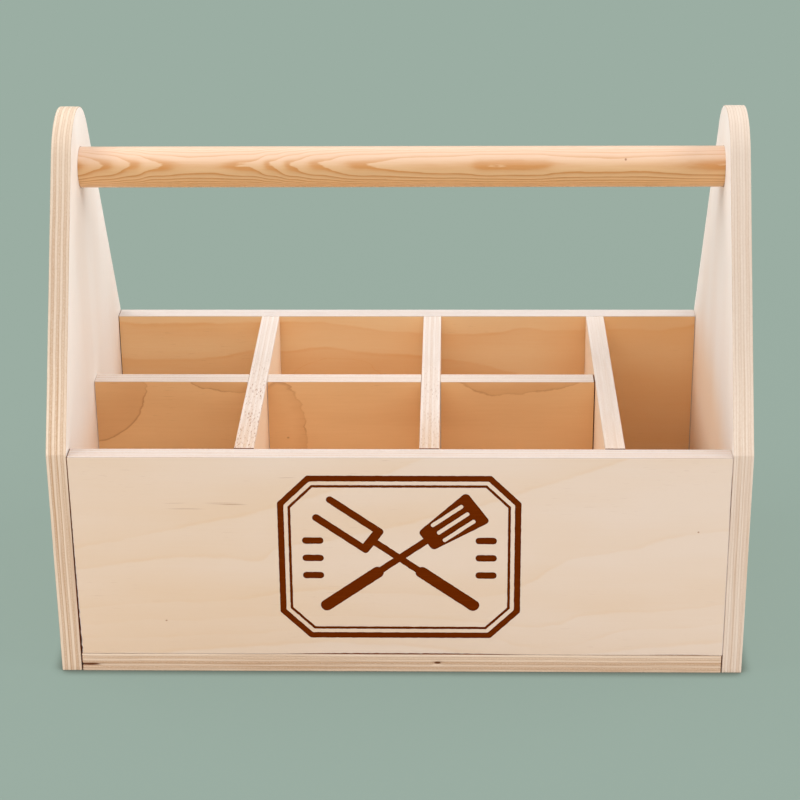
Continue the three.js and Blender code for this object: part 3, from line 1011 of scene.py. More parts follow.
class Wiring:
    """Adds nodes to one tree. Most calls give the new node's output socket."""

    def __init__(self, tree):
        self.tree = tree

    def plug(self, socket, value):
        """Links an output to the input, or sets the input's own value."""
        if isinstance(value, bpy.types.NodeSocket):
            self.tree.links.new(value, socket)
        else:
            socket.default_value = value

    def node(self, kind, inputs=None, **settings):
        """A new node with its settings and its inputs, set beside the last one."""
        made = self.tree.nodes.new(kind)
        place = len(self.tree.nodes)
        made.location = (NODE_STEP[0] * (place % NODES_IN_ROW), NODE_STEP[1] * (place // NODES_IN_ROW))
        for key, value in settings.items():
            setattr(made, key, value)
        for key, value in (inputs or {}).items():
            self.plug(made.inputs[key], value)
        return made

    def math(self, operation, *values):
        """Math on sockets or numbers."""
        return self.node("ShaderNodeMath", dict(enumerate(values)), operation=operation).outputs[0]

    def plus(self, first, second):
        """The sum of two values."""
        return self.math("ADD", first, second)

    def minus(self, first, second):
        """The first value less the second."""
        return self.math("SUBTRACT", first, second)

    def times(self, first, second):
        """The product of two values."""
        return self.math("MULTIPLY", first, second)

    def vary(self, value, low, high, to_low=0.0, to_high=1.0):
        """A value brought from one range to another with eased ends."""
        inputs = {"Value": value, "From Min": low, "From Max": high, "To Min": to_low, "To Max": to_high}
        return self.node("ShaderNodeMapRange", inputs, interpolation_type="SMOOTHSTEP").outputs[0]

    def blend(self, share, first, second):
        """One colour changing to another, through the Mix node's colour sockets."""
        inputs = {0: share, 6: first, 7: second}
        return self.node("ShaderNodeMix", inputs, data_type="RGBA").outputs[2]

    def parts(self, vector):
        """The three coordinates of a vector."""
        return self.node("ShaderNodeSeparateXYZ", {0: vector}).outputs

    def noise(self, vector, stretch, detail=3.0, offset=(0.0, 0.0, 0.0)):
        """Noise from 0 to 1 on a stretched vector."""
        place = self.node("ShaderNodeMapping", {"Vector": vector, "Scale": stretch, "Location": offset})
        return self.node(
            "ShaderNodeTexNoise", {"Vector": place.outputs[0], "Scale": 1.0, "Detail": detail}
        ).outputs[0]

    def swing(self, vector, stretch, detail, offset=(0.0, 0.0, 0.0)):
        """Noise on a stretched vector that swings about 0."""
        return self.minus(self.noise(vector, stretch, detail, offset), 0.5)

    def curve(self, value, points, top):
        """A smooth curve over the value through points, whose heights lie between 0 and top."""
        first, last = points[0][0], points[-1][0]
        inputs = {"Value": value, "From Min": float(first), "From Max": float(last)}
        share = self.node("ShaderNodeMapRange", inputs).outputs[0]
        drawn = self.node("ShaderNodeFloatCurve", {"Value": share})
        bends = drawn.mapping.curves[0].points
        while len(bends) < len(points):
            bends.new(0.5, 0.5)
        for bend, (place, height) in zip(bends, points):
            bend.location = ((place - first) / (last - first), height / top)
        drawn.mapping.update()
        return self.times(drawn.outputs[0], top)

    def group(self, tree, inputs):
        """The outputs of a shared node group."""
        return self.node("ShaderNodeGroup", inputs, node_tree=tree).outputs

    def board_vector(self, axes, origin):
        """Object coordinates in millimetres from an origin: along the grain, across it, through the board."""
        place = self.node("ShaderNodeTexCoord").outputs["Object"]
        parts = self.parts(place)
        turned = self.node("ShaderNodeCombineXYZ", dict(enumerate(parts[axis] for axis in axes)))
        start = [-value / MM for value in origin]
        mapped = self.node(
            "ShaderNodeMapping", {"Vector": turned.outputs[0], "Location": start, "Scale": (1 / MM,) * 3}
        )
        return mapped.outputs[0]


def shared_group(name, inputs, outputs, build):
    """A node group that is built once: build gets its wiring and its inputs, and gives its outputs."""
    tree = bpy.data.node_groups.get(name)
    if tree is None:
        tree = bpy.data.node_groups.new(name, "ShaderNodeTree")
        for label, kind in inputs.items():
            tree.interface.new_socket(label, in_out="INPUT", socket_type=kind)
        for label, kind in outputs.items():
            tree.interface.new_socket(label, in_out="OUTPUT", socket_type=kind)
        wiring = Wiring(tree)
        given = wiring.node("NodeGroupInput").outputs
        results = build(wiring, given)
        wiring.node("NodeGroupOutput", results)
    return tree


def veneer_grain():
    """Fine fibres, short flecks and wide soft bands of a rotary-cut veneer, stretched along the grain."""

    def build(wiring, given):
        vector = given["Vector"]
        coarse = wiring.noise(vector, (0.03, 0.75, 0.4), 5.0)
        fine = wiring.noise(vector, (0.09, 2.4, 0.4), 3.0, (31.0, 7.0, 2.0))
        fibre = wiring.plus(wiring.times(coarse, 0.6), wiring.times(fine, 0.4))
        dashes = wiring.vary(wiring.noise(vector, (0.10, 1.7, 0.4), 2.0, (5.0, 90.0, 1.0)), 0.63, 0.75)
        where = wiring.vary(wiring.noise(vector, (0.012, 0.035, 0.4), 1.0, (70.0, 3.0, 9.0)), 0.46, 0.66)
        band = wiring.noise(vector, (0.006, 0.028, 0.15), 2.0, (12.0, 44.0, 6.0))
        return {"Fibre": fibre, "Fleck": wiring.times(dashes, where), "Band": band}

    outputs = dict.fromkeys(("Fibre", "Fleck", "Band"), FLOAT)
    return shared_group("Veneer Grain", {"Vector": VECTOR}, outputs, build)


def growth_line():
    """Shade on the dark side of a growth line.

    It has a soft start, a narrow seam that fades in places, and a long tail. Crease is the seam alone.
    """

    def build(wiring, given):
        distance = given["Distance"]
        lead = wiring.times(given["Seam"], 0.3)
        start = wiring.vary(distance, wiring.times(lead, -1.0), lead)
        seam = wiring.times(wiring.vary(distance, 0.0, given["Seam"], 1.0, 0.0), given["Fade"])
        tail = wiring.vary(distance, 0.0, given["Tail"], 1.0, 0.0)
        body = wiring.plus(wiring.times(seam, 0.5), wiring.times(tail, 0.5))
        return {"Shade": wiring.times(start, body), "Crease": wiring.times(start, seam)}

    inputs = dict.fromkeys(("Distance", "Seam", "Tail", "Fade"), FLOAT)
    return shared_group("Growth Line", inputs, {"Shade": FLOAT, "Crease": FLOAT}, build)


def ply_layers():
    """Plies of an edge. Fibres run along the grain in every other ply and across it in the rest.

    Depth is the share of the thickness, with the plies' slight waves. Streak is the fibres as they show on
    the cut, and Glue the glue lines.
    """

    def build(wiring, given):
        along, across, through = wiring.parts(given["Vector"])
        ply = wiring.math("DIVIDE", given["Thickness"], given["Plies"])
        wave = wiring.swing(given["Vector"], (0.035, 0.035, 0.02), 2.0)
        depth = wiring.plus(through, wiring.times(wave, wiring.times(ply, 0.5)))
        level = wiring.math("DIVIDE", depth, ply)
        number = wiring.math("FLOOR", level)
        crosswise = wiring.math("MODULO", wiring.math("ABSOLUTE", number), 2.0)
        # Each ply takes its fibres from another stretch of the noise
        shifted = wiring.plus(along, wiring.times(number, 37.0))
        place = wiring.node("ShaderNodeCombineXYZ", {0: shifted, 1: across, 2: through}).outputs[0]
        long_grain = wiring.noise(place, (0.05, 1.5, 1.5), 4.0)
        cross_grain = wiring.noise(place, (1.3, 0.05, 1.5), 4.0)
        streak = wiring.node("ShaderNodeMix", {0: crosswise, 2: long_grain, 3: cross_grain}).outputs[0]
        from_middle = wiring.math("ABSOLUTE", wiring.minus(wiring.math("FRACT", level), 0.5))
        glue = wiring.vary(wiring.minus(0.5, from_middle), 0.03, 0.14, 1.0, 0.0)
        return {"Depth": wiring.math("DIVIDE", depth, given["Thickness"]), "Streak": streak, "Glue": glue}

    inputs = {"Vector": VECTOR, "Thickness": FLOAT, "Plies": FLOAT}
    return shared_group("Ply Layers", inputs, dict.fromkeys(("Depth", "Streak", "Glue"), FLOAT), build)


def handling_wear():
    """Faint dirt from hands in wide clouds, the same for the veneers and the steel."""

    def build(wiring, given):
        clouds = wiring.noise(given["Vector"], (0.02, 0.02, 0.02), 3.0, (8.0, 2.0, 5.0))
        return {"Soil": wiring.vary(clouds, 0.35, 0.8)}

    return shared_group("Handling Wear", {"Vector": VECTOR}, {"Soil": FLOAT}, build)


def new_material(name, **settings):
    """A material with a Principled shader, whose plain settings are set on its own sockets."""
    material = bpy.data.materials.new(name)
    material.use_nodes = True
    tree = material.node_tree
    tree.nodes.clear()
    wiring = Wiring(tree)
    shader = wiring.node("ShaderNodeBsdfPrincipled", settings)
    wiring.node("ShaderNodeOutputMaterial", {"Surface": shader.outputs[0]})
    return material, wiring, shader


def finish_wood(wiring, shader, colour_socket, fibre, bump_metres, smooth=0.52, rough=0.68):
    """Colour, roughness that follows the fibres, and their relief."""
    wiring.plug(shader.inputs["Base Color"], colour_socket)
    wiring.plug(shader.inputs["Roughness"], wiring.vary(fibre, 0.2, 0.8, smooth, rough))
    relief = {"Height": fibre, "Strength": RELIEF_STRENGTH, "Distance": bump_metres}
    wiring.plug(shader.inputs["Normal"], wiring.node("ShaderNodeBump", relief).outputs[0])


def patch_shares(wiring, along, across, patch):
    """How far a place is from the middle of a patch along it and across it, where 1 is on its rim."""
    first = wiring.math("DIVIDE", wiring.minus(along, patch.along), patch.half_length)
    second = wiring.math("DIVIDE", wiring.minus(across, patch.across), patch.half_height)
    return first, second


def patch_share(wiring, along, across, patch):
    """How far a place is from the middle of a round patch, where 1 is on its rim."""
    shares = patch_shares(wiring, along, across, patch)
    squares = [wiring.times(share, share) for share in shares]
    return wiring.math("SQRT", wiring.plus(*squares))


def cover_share(wiring, along, across, cover):
    """How far a place is from the middle of a straight-sided patch, where 1 is on its rim."""
    shares = patch_shares(wiring, along, across, cover)
    return wiring.math("MAXIMUM", *[wiring.math("ABSOLUTE", share) for share in shares])


def growth_marks(wiring, vector, drift, lines, patches, seam, jag_reach):
    """Shade and creases beside the growth lines and inside the patches of a veneer.

    A growth line is a curve of the place across the grain over the place along it, moved by the drift and by
    a finer jag. A patch is closed by such a line, moved in the same way.
    """
    along, across, _ = wiring.parts(vector)
    jag = wiring.swing(vector, (0.12, 0.3, 0.05), 3.0, (6.0, 20.0, 1.0))
    wander = wiring.math("MULTIPLY_ADD", drift, LINE_DRIFT, wiring.times(jag, jag_reach))
    line_along = wiring.plus(along, wander)
    line_across = wiring.plus(across, wander)
    clouds = wiring.noise(vector, (0.025, 0.05, 0.02), 2.0, (40.0, 9.0, 3.0))
    fade = wiring.vary(clouds, 0.38, 0.62, 0.2, 1.0)
    edges = []
    for line in lines:
        height = wiring.curve(along, line.points, LINE_TOP)
        side = math.copysign(1.0, line.shade)
        gap = wiring.times(wiring.minus(line_across, height), side)
        edges.append((gap, seam, float(abs(line.shade))))
    for patch in patches:
        share = patch_share(wiring, line_along, line_across, patch)
        gap = wiring.times(wiring.minus(1.0, share), patch.half_length)
        edges.append((gap, PATCH_SEAM, patch.shade))
    shade = crease = 0.0
    for gap, width, tail in edges:
        inputs = {"Distance": gap, "Seam": width, "Tail": tail, "Fade": fade}
        found = wiring.group(growth_line(), inputs)
        shade = wiring.math("MAXIMUM", found["Shade"], shade)
        crease = wiring.math("MAXIMUM", found["Crease"], crease)
    return shade, crease


def veneer_face(
    name, axes, light, dark, lines=(), patches=(), streaks=(), covers=(), shade_patches=(), shade_colour=None,
    band_share=0.35, line_share=0.4, lean=0.0, jag_reach=1.8, seam=3.0, crease_share=0.0,
):
    """Face of a board: veneer bands, fibres and flecks, with growth lines, patches and streaks where given.

    The shade patches are painted shade: a deeper, warmer colour where less light reaches inside the cells.
    Covers are where other boards lie on this one, painted with the colour of the shade in the joint gaps. The
    tone leans towards dark at the low end of the grain by lean, and the seams of the growth lines are
    darkened by crease_share.
    """
    colours = bpy.context.scene.caddy_colours
    material, wiring, shader = new_material(name, **WOOD_GLOSS)
    vector = wiring.board_vector(axes, (0, 0, 0))
    grain = wiring.group(veneer_grain(), {"Vector": vector})
    along, across, _ = wiring.parts(vector)
    drift = wiring.swing(vector, (0.03, 0.08, 0.02), 4.0, (3.0, 50.0, 4.0))
    tone = wiring.vary(grain["Band"], 0.3, 0.75, 0.0, band_share)
    crease = 0.0
    if lines or patches:
        shade, crease = growth_marks(wiring, vector, drift, lines, patches, seam, jag_reach)
        tone = wiring.math("MULTIPLY_ADD", shade, line_share, tone)
    tone = wiring.math("MULTIPLY_ADD", wiring.minus(grain["Fibre"], 0.5), FIBRE_SHARE, tone)
    if lean:
        tone = wiring.math("MULTIPLY_ADD", along, -lean / HALF_LENGTH, tone)
    wood = wiring.blend(tone, light, dark)
    wood = wiring.blend(wiring.times(grain["Fleck"], FLECK_SHARE), wood, colours.streak)
    if crease_share:
        wood = wiring.blend(wiring.times(crease, crease_share), wood, colours.streak)
    streak_across = wiring.plus(across, wiring.times(drift, STREAK_DRIFT))
    for streak in streaks:
        share = patch_share(wiring, along, streak_across, streak)
        wood = wiring.blend(wiring.vary(share, 0.3, 1.0, streak.strength, 0.0), wood, colours.streak)
    wear = wiring.group(handling_wear(), {"Vector": vector})
    wood = wiring.blend(wiring.times(wear["Soil"], SOIL_SHARE), wood, dark)
    # Painted shade: a deeper, warmer colour where less light reaches inside the cells
    for tan in shade_patches:
        share = patch_share(wiring, along, across, tan)
        wood = wiring.blend(wiring.vary(share, 0.5, 1.0, tan.strength, 0.0), wood, shade_colour or dark)
    # Painted shade on the faces that other boards cover, which shows through the joint gaps
    for cover in covers:
        under = wiring.vary(cover_share(wiring, along, across, cover), 0.96, 1.0, 1.0, 0.0)
        wood = wiring.blend(under, wood, colours.joint_gap_shade)
    finish_wood(wiring, shader, wood, grain["Fibre"], 0.12 * MM)
    return material


def ply_ramp(wiring, depth, tones):
    """Tone of the ply that lies at a share of the thickness."""
    ramp = wiring.node("ShaderNodeValToRGB", {0: depth})
    ramp.color_ramp.interpolation = "CONSTANT"
    stops = ramp.color_ramp.elements
    while len(stops) < len(tones):
        stops.new(1.0)
    for number, tone in enumerate(tones):
        stops[number].position = number / len(tones)
        stops[number].color = (tone, tone, tone, 1.0)
    return ramp.outputs[0]


def ply_edge(node, axes, plane, voids=()):
    """Edge of a board: plies in their own tones, glue lines, fibres, speckle, painted shade in voids and
    joints.
    """
    colours = bpy.context.scene.caddy_colours
    plies = bpy.context.scene.caddy_boards.plies
    cut = EDGES[node]
    places = ["XYZ".index(axis) for axis in axes]
    low, high = np.array(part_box(node))[:, places]
    origin = ((low[0] + high[0]) / 2, (low[1] + high[1]) / 2, low[2])
    thickness = float(high[2] - low[2]) / MM
    material, wiring, shader = new_material(f"{node}_plies", **WOOD_GLOSS)
    vector = wiring.board_vector(axes, origin)
    along, across, through = wiring.parts(vector)
    layers = wiring.group(ply_layers(), {"Vector": vector, "Thickness": thickness, "Plies": float(plies)})
    ply_tone = ply_ramp(wiring, layers["Depth"], cut.tones if plane[2].sum() > 0 else cut.tones[::-1])
    streak = wiring.minus(layers["Streak"], 0.5)
    streak = wiring.times(streak, wiring.math("MULTIPLY_ADD", ply_tone, 0.9, 0.3))
    tone = wiring.plus(ply_tone, streak)
    drift = wiring.swing(vector, (0.012, 0.012, 0.7), 2.0, (9.0, 1.0, 3.0))
    tone = wiring.math("MULTIPLY_ADD", drift, 0.35, tone)
    hairlines = wiring.vary(wiring.noise(vector, (0.008, 0.008, 1.5), 2.0, (2.0, 6.0, 5.0)), 0.52, 0.70)
    tone = wiring.math("MULTIPLY_ADD", hairlines, cut.hairlines, tone)
    # Painted shade: the edges of the side panels darken towards their upper end, in tone here and in colour
    # below
    if cut.upper_soil:
        tone = wiring.times(tone, wiring.vary(along, *CROWN_SPAN, 1.0, 0.65))
    # Painted shade at the front end
    if cut.front_tone:
        tone = wiring.plus(tone, wiring.vary(along, *FRONT_TONE_SPAN, cut.front_tone, 0.0))
    wood = wiring.blend(tone, getattr(colours, cut.light), colours.edge_dark)
    wood = wiring.blend(wiring.times(layers["Glue"], cut.hairlines), wood, colours.glue)
    speckle = wiring.vary(wiring.noise(vector, (0.35, 0.35, 1.6), 3.0, (4.0, 4.0, 8.0)), 0.56, 0.74)
    where = wiring.vary(wiring.noise(vector, (0.02, 0.02, 0.1), 1.0), 0.3, 0.5)
    where = wiring.times(where, wiring.vary(along, *SPECKLE_SPAN, cut.speckle, 0.0))
    wood = wiring.blend(wiring.times(speckle, where), wood, colours.streak)
    # Painted shade towards the upper end
    if cut.upper_soil:
        wood = wiring.blend(wiring.vary(along, *UPPER_SHADE_SPAN, 0.0, cut.upper_soil), wood, colours.soil)
    # Painted shade inside the voids on the front edge
    for void in voids:
        middle = thickness / plies * (void.ply + 0.5)
        place = Patch(void.at[0] / MM, middle, void.half_run / MM, 0.55 * thickness / plies)
        hollow = wiring.vary(patch_share(wiring, along, through, place), 0.55, 1.05, 1.0, 0.0)
        in_front = wiring.math("LESS_THAN", across, 0.0)
        wood = wiring.blend(wiring.times(hollow, in_front), wood, colours.joint)
    half = float(high[0] - low[0]) / 2 / MM
    # Painted shade of the joint gaps over the ends of the edge
    for way, reach in zip((-1.0, 1.0), JOINT_ENDS.get(node, ())):
        if reach:
            ragged = wiring.times(wiring.noise(vector, (0.0, 0.25, 0.6), 4.0), 1.1)
            from_end = wiring.minus(half, wiring.times(along, way))
            dark = wiring.vary(wiring.math("DIVIDE", from_end, ragged), 0.6 * reach, reach, 1.0, 0.0)
            wood = wiring.blend(dark, wood, colours.joint)
    finish_wood(wiring, shader, wood, layers["Streak"], 0.08 * MM)
    return material


def burnt_wood():
    """Burnt floor and walls of the mark: dark brown, with paler grain showing through."""
    colours = bpy.context.scene.caddy_colours
    material, wiring, shader = new_material("burnt_mark", **{"Specular IOR Level": 0.0})
    vector = wiring.board_vector("XZY", (0, 0, 0))
    grain = wiring.group(veneer_grain(), {"Vector": vector})
    pale = wiring.vary(grain["Fibre"], 0.5, 0.72, 0.0, 0.7)
    wood = wiring.blend(pale, colours.burn, colours.burn_pale)
    finish_wood(wiring, shader, wood, grain["Fibre"], 0.15 * MM)
    return material


def pocket_wood():
    """Torn wood round the heads and in the handle's seats."""
    colours = bpy.context.scene.caddy_colours
    material, wiring, shader = new_material("pocket_wood", **WOOD_GLOSS)
    vector = wiring.board_vector("XYZ", (0, 0, 0))
    torn = wiring.noise(vector, (1.5, 1.5, 1.5), 3.0)
    wood = wiring.blend(torn, colours.edge_dark, colours.streak)
    finish_wood(wiring, shader, wood, torn, 0.2 * MM)
    return material


def pine_rings(axis_place, radius):
    """Pine cut near the side of its trunk: rings about a pith behind the handle, counted along it by a curve.

    The ring number is the curve's count less the depth below the outermost ring, in ring widths. Late wood
    darkens towards each whole number and ends sharply there. Painted light: the wood between the rings is
    paler on the upper side as a painted highlight and on the lower side as painted bounce light, and the late
    wood fades on both sides.
    """
    colours = bpy.context.scene.caddy_colours
    gloss = {"Specular IOR Level": 0.5, "Coat Weight": 0.5, "Coat Roughness": 0.4}
    material, wiring, shader = new_material("pine_handle", **gloss)
    vector = wiring.board_vector("XYZ", axis_place)
    along, back, up = wiring.parts(vector)
    outermost = math.hypot(PITH_BACK, PITH_UP) + radius / MM
    offsets = {1: wiring.minus(back, PITH_BACK), 2: wiring.minus(up, PITH_UP)}
    from_pith = wiring.node("ShaderNodeCombineXYZ", offsets).outputs[0]
    distance = wiring.node("ShaderNodeVectorMath", {0: from_pith}, operation="LENGTH").outputs["Value"]
    count = wiring.curve(along, HANDLE_RINGS, MOST_RINGS)
    wave = wiring.math("SINE", wiring.times(count, FULL_TURN))
    count = wiring.math("MULTIPLY_ADD", wave, -RING_GATHER, count)
    sunk = wiring.math("DIVIDE", wiring.minus(outermost, distance), RING_WIDTH)
    drift = wiring.swing(vector, (0.05, 0.25, 0.25), 4.0)
    number = wiring.plus(wiring.minus(count, sunk), wiring.times(drift, 0.55))
    # Whole rings are added so that the number stays above 0
    place = wiring.math("FRACT", wiring.plus(number, 60.0))
    last_rise = wiring.vary(place, 0.55, 0.92, 0.0, 0.5)
    late = wiring.math("MULTIPLY_ADD", wiring.vary(place, 0.15, 0.92), 0.5, last_rise)
    late = wiring.times(late, wiring.vary(place, 0.94, 1.0, 1.0, 0.0))
    # Painted highlight and painted bounce light: the late wood fades on the upper and on the lower side
    late = wiring.times(late, wiring.vary(up, 2.0, 9.0, 1.0, 0.4))
    late = wiring.times(late, wiring.vary(up, -9.5, -4.0, 0.45, 1.0))
    fibre = wiring.noise(vector, (0.05, 1.6, 1.6), 4.0)
    fibre_tone = wiring.times(wiring.minus(fibre, 0.5), 0.3)
    tone = wiring.plus(wiring.times(late, 0.85), fibre_tone)
    # Painted highlight on the upper side and painted bounce light on the lower side
    early_and_painted_light = wiring.blend(wiring.vary(up, 0.0, 10.0), colours.pine_light, colours.pine_painted_highlight)
    early_and_painted_light = wiring.blend(wiring.vary(up, -7.0, 1.0, 1.0, 0.0), early_and_painted_light, colours.pine_painted_underlight)
    wood = wiring.blend(tone, early_and_painted_light, colours.pine_dark)
    knot = patch_share(wiring, along, up, PIN_KNOT)
    wood = wiring.blend(wiring.vary(knot, 0.5, 1.0, 0.8, 0.0), wood, colours.streak)
    finish_wood(wiring, shader, wood, fibre, 0.1 * MM, 0.40, 0.52)
    return material


def plated_steel():
    """Zinc plating with fine scratches and dull patches."""
    colours = bpy.context.scene.caddy_colours
    material, wiring, shader = new_material("plated_steel", Metallic=1.0)
    vector = wiring.board_vector("XYZ", (0, 0, 0))
    scratches = wiring.noise(vector, (1.2, 6.0, 6.0), 4.0)
    wear = wiring.group(handling_wear(), {"Vector": vector})
    wiring.plug(shader.inputs["Base Color"], wiring.blend(wear["Soil"], colours.zinc, colours.streak))
    wiring.plug(shader.inputs["Roughness"], wiring.vary(scratches, 0.3, 0.7, 0.28, 0.46))
    return material


# Operators, one for each piece or group of like pieces

def sawn_outline(corners, sizes):
    """Outline of a board through its corners, with the rounding and the steps of the sawn boards."""
    return outline_loop(corners, sizes.corner_radius, sizes.sample_step)


def side_outline(sizes, low, high, axis_height):
    """Side panel: upright to the shoulder, then slopes that touch the crown round the handle's axis."""
    half = (high[0] - low[0]) / 2
    rise = axis_height - sizes.shoulder_height
    span = math.hypot(half, rise)
    slope = math.atan2(rise, half) + math.asin(sizes.crown_radius / span)
    apex = sizes.shoulder_height + half * math.tan(slope)
    corners = [
        (low[0], low[1]), (high[0], low[1]), (high[0], sizes.shoulder_height), (0, apex),
        (low[0], sizes.shoulder_height),
    ]
    small = sizes.corner_radius
    return outline_loop(corners, (small, small, small, sizes.crown_radius, small), sizes.sample_step)


class CADDY_OT_side_panels(Operator):
    """Builds the two gable-shaped side panels with the handle's seats"""

    bl_idname = "caddy.side_panels"
    bl_label = "Side Panels"

    def execute(self, context):
        sizes = context.scene.caddy_boards
        colours = context.scene.caddy_colours
        handle_low, handle_high = plane_box("handle_dowel", GABLE_PLANE)
        handle_middle = (handle_low + handle_high) / 2
        handle_radius = (handle_high[1] - handle_low[1]) / 2
        seat_loop = circle(handle_middle[:2], handle_radius + sizes.seat_clearance, SEAT_POINTS)
        seat = Pocket([[seat_loop]], sizes.seat_depth)
        outer = veneer_face(
            "side_panel_veneer", "ZYX", colours.birch_light, colours.birch_dark, band_share=0.6
        )
        for node, way, shade_patches in (("left_side_panel", -1, LEFT_PAINTED_SHADE), ("right_side_panel", 1, RIGHT_PAINTED_SHADE)):
            inner = veneer_face(
                f"{node}_veneer_inner", "ZYX", colours.gable_light, colours.gable_dark,
                covers=SIDE_COVERS, shade_patches=shade_patches, shade_colour=colours.divider_light, band_share=0.45,
            )
            low, high = plane_box(node, GABLE_PLANE)
            outline = side_outline(sizes, low, high, handle_middle[1])
            heads = head_pockets(GABLE_PLANE, way * X_AXIS)
            edge = ply_edge(node, "ZYX", GABLE_PLANE)
            # The outer face is the low one at the left and the high one at the right
            faces = (outer, inner)[::-way]
            low_pockets, high_pockets = (heads, [seat])[::-way]
            add_board(
                node, GABLE_PLANE, outline, (*faces, edge, pocket_wood()),
                low_pockets=low_pockets, high_pockets=high_pockets,
            )
        return {"FINISHED"}


class CADDY_OT_bottom_panel(Operator):
    """Builds the bottom panel, whose core voids show on its front edge"""

    bl_idname = "caddy.bottom_panel"
    bl_label = "Bottom Panel"

    def execute(self, context):
        sizes = context.scene.caddy_boards
        colours = context.scene.caddy_colours
        low, high = plane_box("bottom_panel", FLOOR_PLANE)
        outline = sawn_outline(rectangle(low[0], high[0], low[1], high[1]), sizes)
        under = veneer_face("bottom_veneer_under", "XYZ", colours.birch_light, colours.birch_dark)
        upper = veneer_face(
            "bottom_veneer_upper", "XYZ", colours.divider_light, colours.divider_dark, covers=BOTTOM_COVERS
        )
        edge = ply_edge("bottom_panel", "XYZ", FLOOR_PLANE, BOTTOM_VOIDS)
        add_board(
            "bottom_panel", FLOOR_PLANE, outline, (under, upper, edge, pocket_wood()),
            voids=BOTTOM_VOIDS, low_pockets=head_pockets(FLOOR_PLANE, -Z_AXIS),
        )
        return {"FINISHED"}


def wall_outline(node, sizes, tight=(0.0, 0.0)):
    """Upright rectangle of a front or back board, whose ends reach into the glue gaps by tight."""
    low, high = plane_box(node, WALL_PLANE)
    return sawn_outline(rectangle(low[0] - tight[0], high[0] + tight[1], low[1], high[1]), sizes)


def opening(places, stretches):
    """How far a joint stands open at places along it: the highest of the stretches' flat-topped bumps."""
    bumps = [
        stretch.share * flat_bump((places - stretch.middle) / stretch.half)
        for stretch in stretches
    ]
    return np.max(bumps, axis=0)


def opened_joints(outline, sizes, seed):
    """Outline of the front board, whose ends and foot stand off the next boards by gaps with uneven edges.

    At the low end the gap is the widest times a power of the share of the height below the top. At the high
    end and at the foot it follows the open stretches, and is closed elsewhere. Points beside a gap move less
    the further they are from it.
    """
    low, high = outline.min(axis=0), outline.max(axis=0)
    share = (high[1] - outline[:, 1]) / (high[1] - low[1])
    uneven = 1 + GAP_UNEVEN * ripple(outline, 1, *GAP_WAVES, seed)[0]
    distances = np.stack([outline[:, 0] - low[0], high[0] - outline[:, 0], outline[:, 1] - low[1]])
    near_low_end, near_high_end, near_foot = np.clip(1 - distances / (GAP_FADE * sizes.open_joint), 0, 1)
    low_gap = sizes.open_joint * share ** GAP_POWER * uneven - sizes.tight_joint * (1 - share)
    high_gap = sizes.open_foot * opening(outline[:, 1], OPEN_RIGHT_END) * uneven
    foot = opening(outline[:, 0], OPEN_FOOT)
    foot_gap = sizes.open_foot * foot * uneven - sizes.tight_joint * (1 - foot)
    opened = outline.copy()
    opened[:, 0] += low_gap * near_low_end - high_gap * near_high_end
    opened[:, 1] += foot_gap * near_foot
    return opened


class CADDY_OT_front_panel(Operator):
    """Builds the front panel with its burnt mark"""

    bl_idname = "caddy.front_panel"
    bl_label = "Front Panel"

    def execute(self, context):
        colours = context.scene.caddy_colours
        sizes = context.scene.caddy_boards
        mark = context.scene.caddy_mark
        outer = veneer_face(
            "front_veneer", "XZY", colours.birch_light, colours.birch_dark, FRONT_LINES, (), FRONT_STREAKS,
            band_share=0.45, line_share=0.6, lean=0.2,
        )
        inner = veneer_face("front_veneer_inner", "XZY", colours.divider_light, colours.divider_dark)
        edge = ply_edge("front_panel", "XZY", WALL_PLANE)
        outline = wall_outline("front_panel", sizes, (0.0, sizes.tight_joint))
        outline = opened_joints(outline, sizes, SEEDS["front_joints"])
        add_board(
            "front_panel", WALL_PLANE, outline, (inner, outer, edge, burnt_wood()),
            high_pockets=[mark_pocket(mark, (0, mark.centre_height))],
        )
        return {"FINISHED"}


class CADDY_OT_back_panel(Operator):
    """Builds the back panel, nailed into the cross dividers"""

    bl_idname = "caddy.back_panel"
    bl_label = "Back Panel"

    def execute(self, context):
        colours = context.scene.caddy_colours
        sizes = context.scene.caddy_boards
        outer = veneer_face("back_veneer", "XZY", colours.birch_light, colours.birch_dark, band_share=0.6)
        inner = veneer_face(
            "back_veneer_inner", "XZY", colours.back_light, colours.back_dark, BACK_LINES, BACK_PATCHES,
            shade_patches=BACK_PAINTED_SHADE, line_share=0.5,
        )
        edge = ply_edge("back_panel", "XZY", WALL_PLANE)
        outline = wall_outline("back_panel", sizes, (sizes.tight_joint, sizes.tight_joint))
        add_board(
            "back_panel", WALL_PLANE, outline, (outer, inner, edge, pocket_wood()),
            low_pockets=head_pockets(WALL_PLANE, Y_AXIS),
        )
        return {"FINISHED"}


def lap_slots(node, plane, crossing, sizes):
    """Where other boards cross a board: the middle of each along its outline, and half the slot's width."""
    middles = []
    for other in crossing:
        low, high = plane_box(other, plane)
        middles.append((low[0] + high[0]) / 2)
    low, high = plane_box(node, plane)
    return middles, (high[2] - low[2]) / 2 + sizes.lap_clearance


def slot_corners(start, end, rim, floor):
    """Corners of a slot, from its rim down one side, over its floor and up the other side."""
    return [(start, rim), (start, floor), (end, floor), (end, rim)]


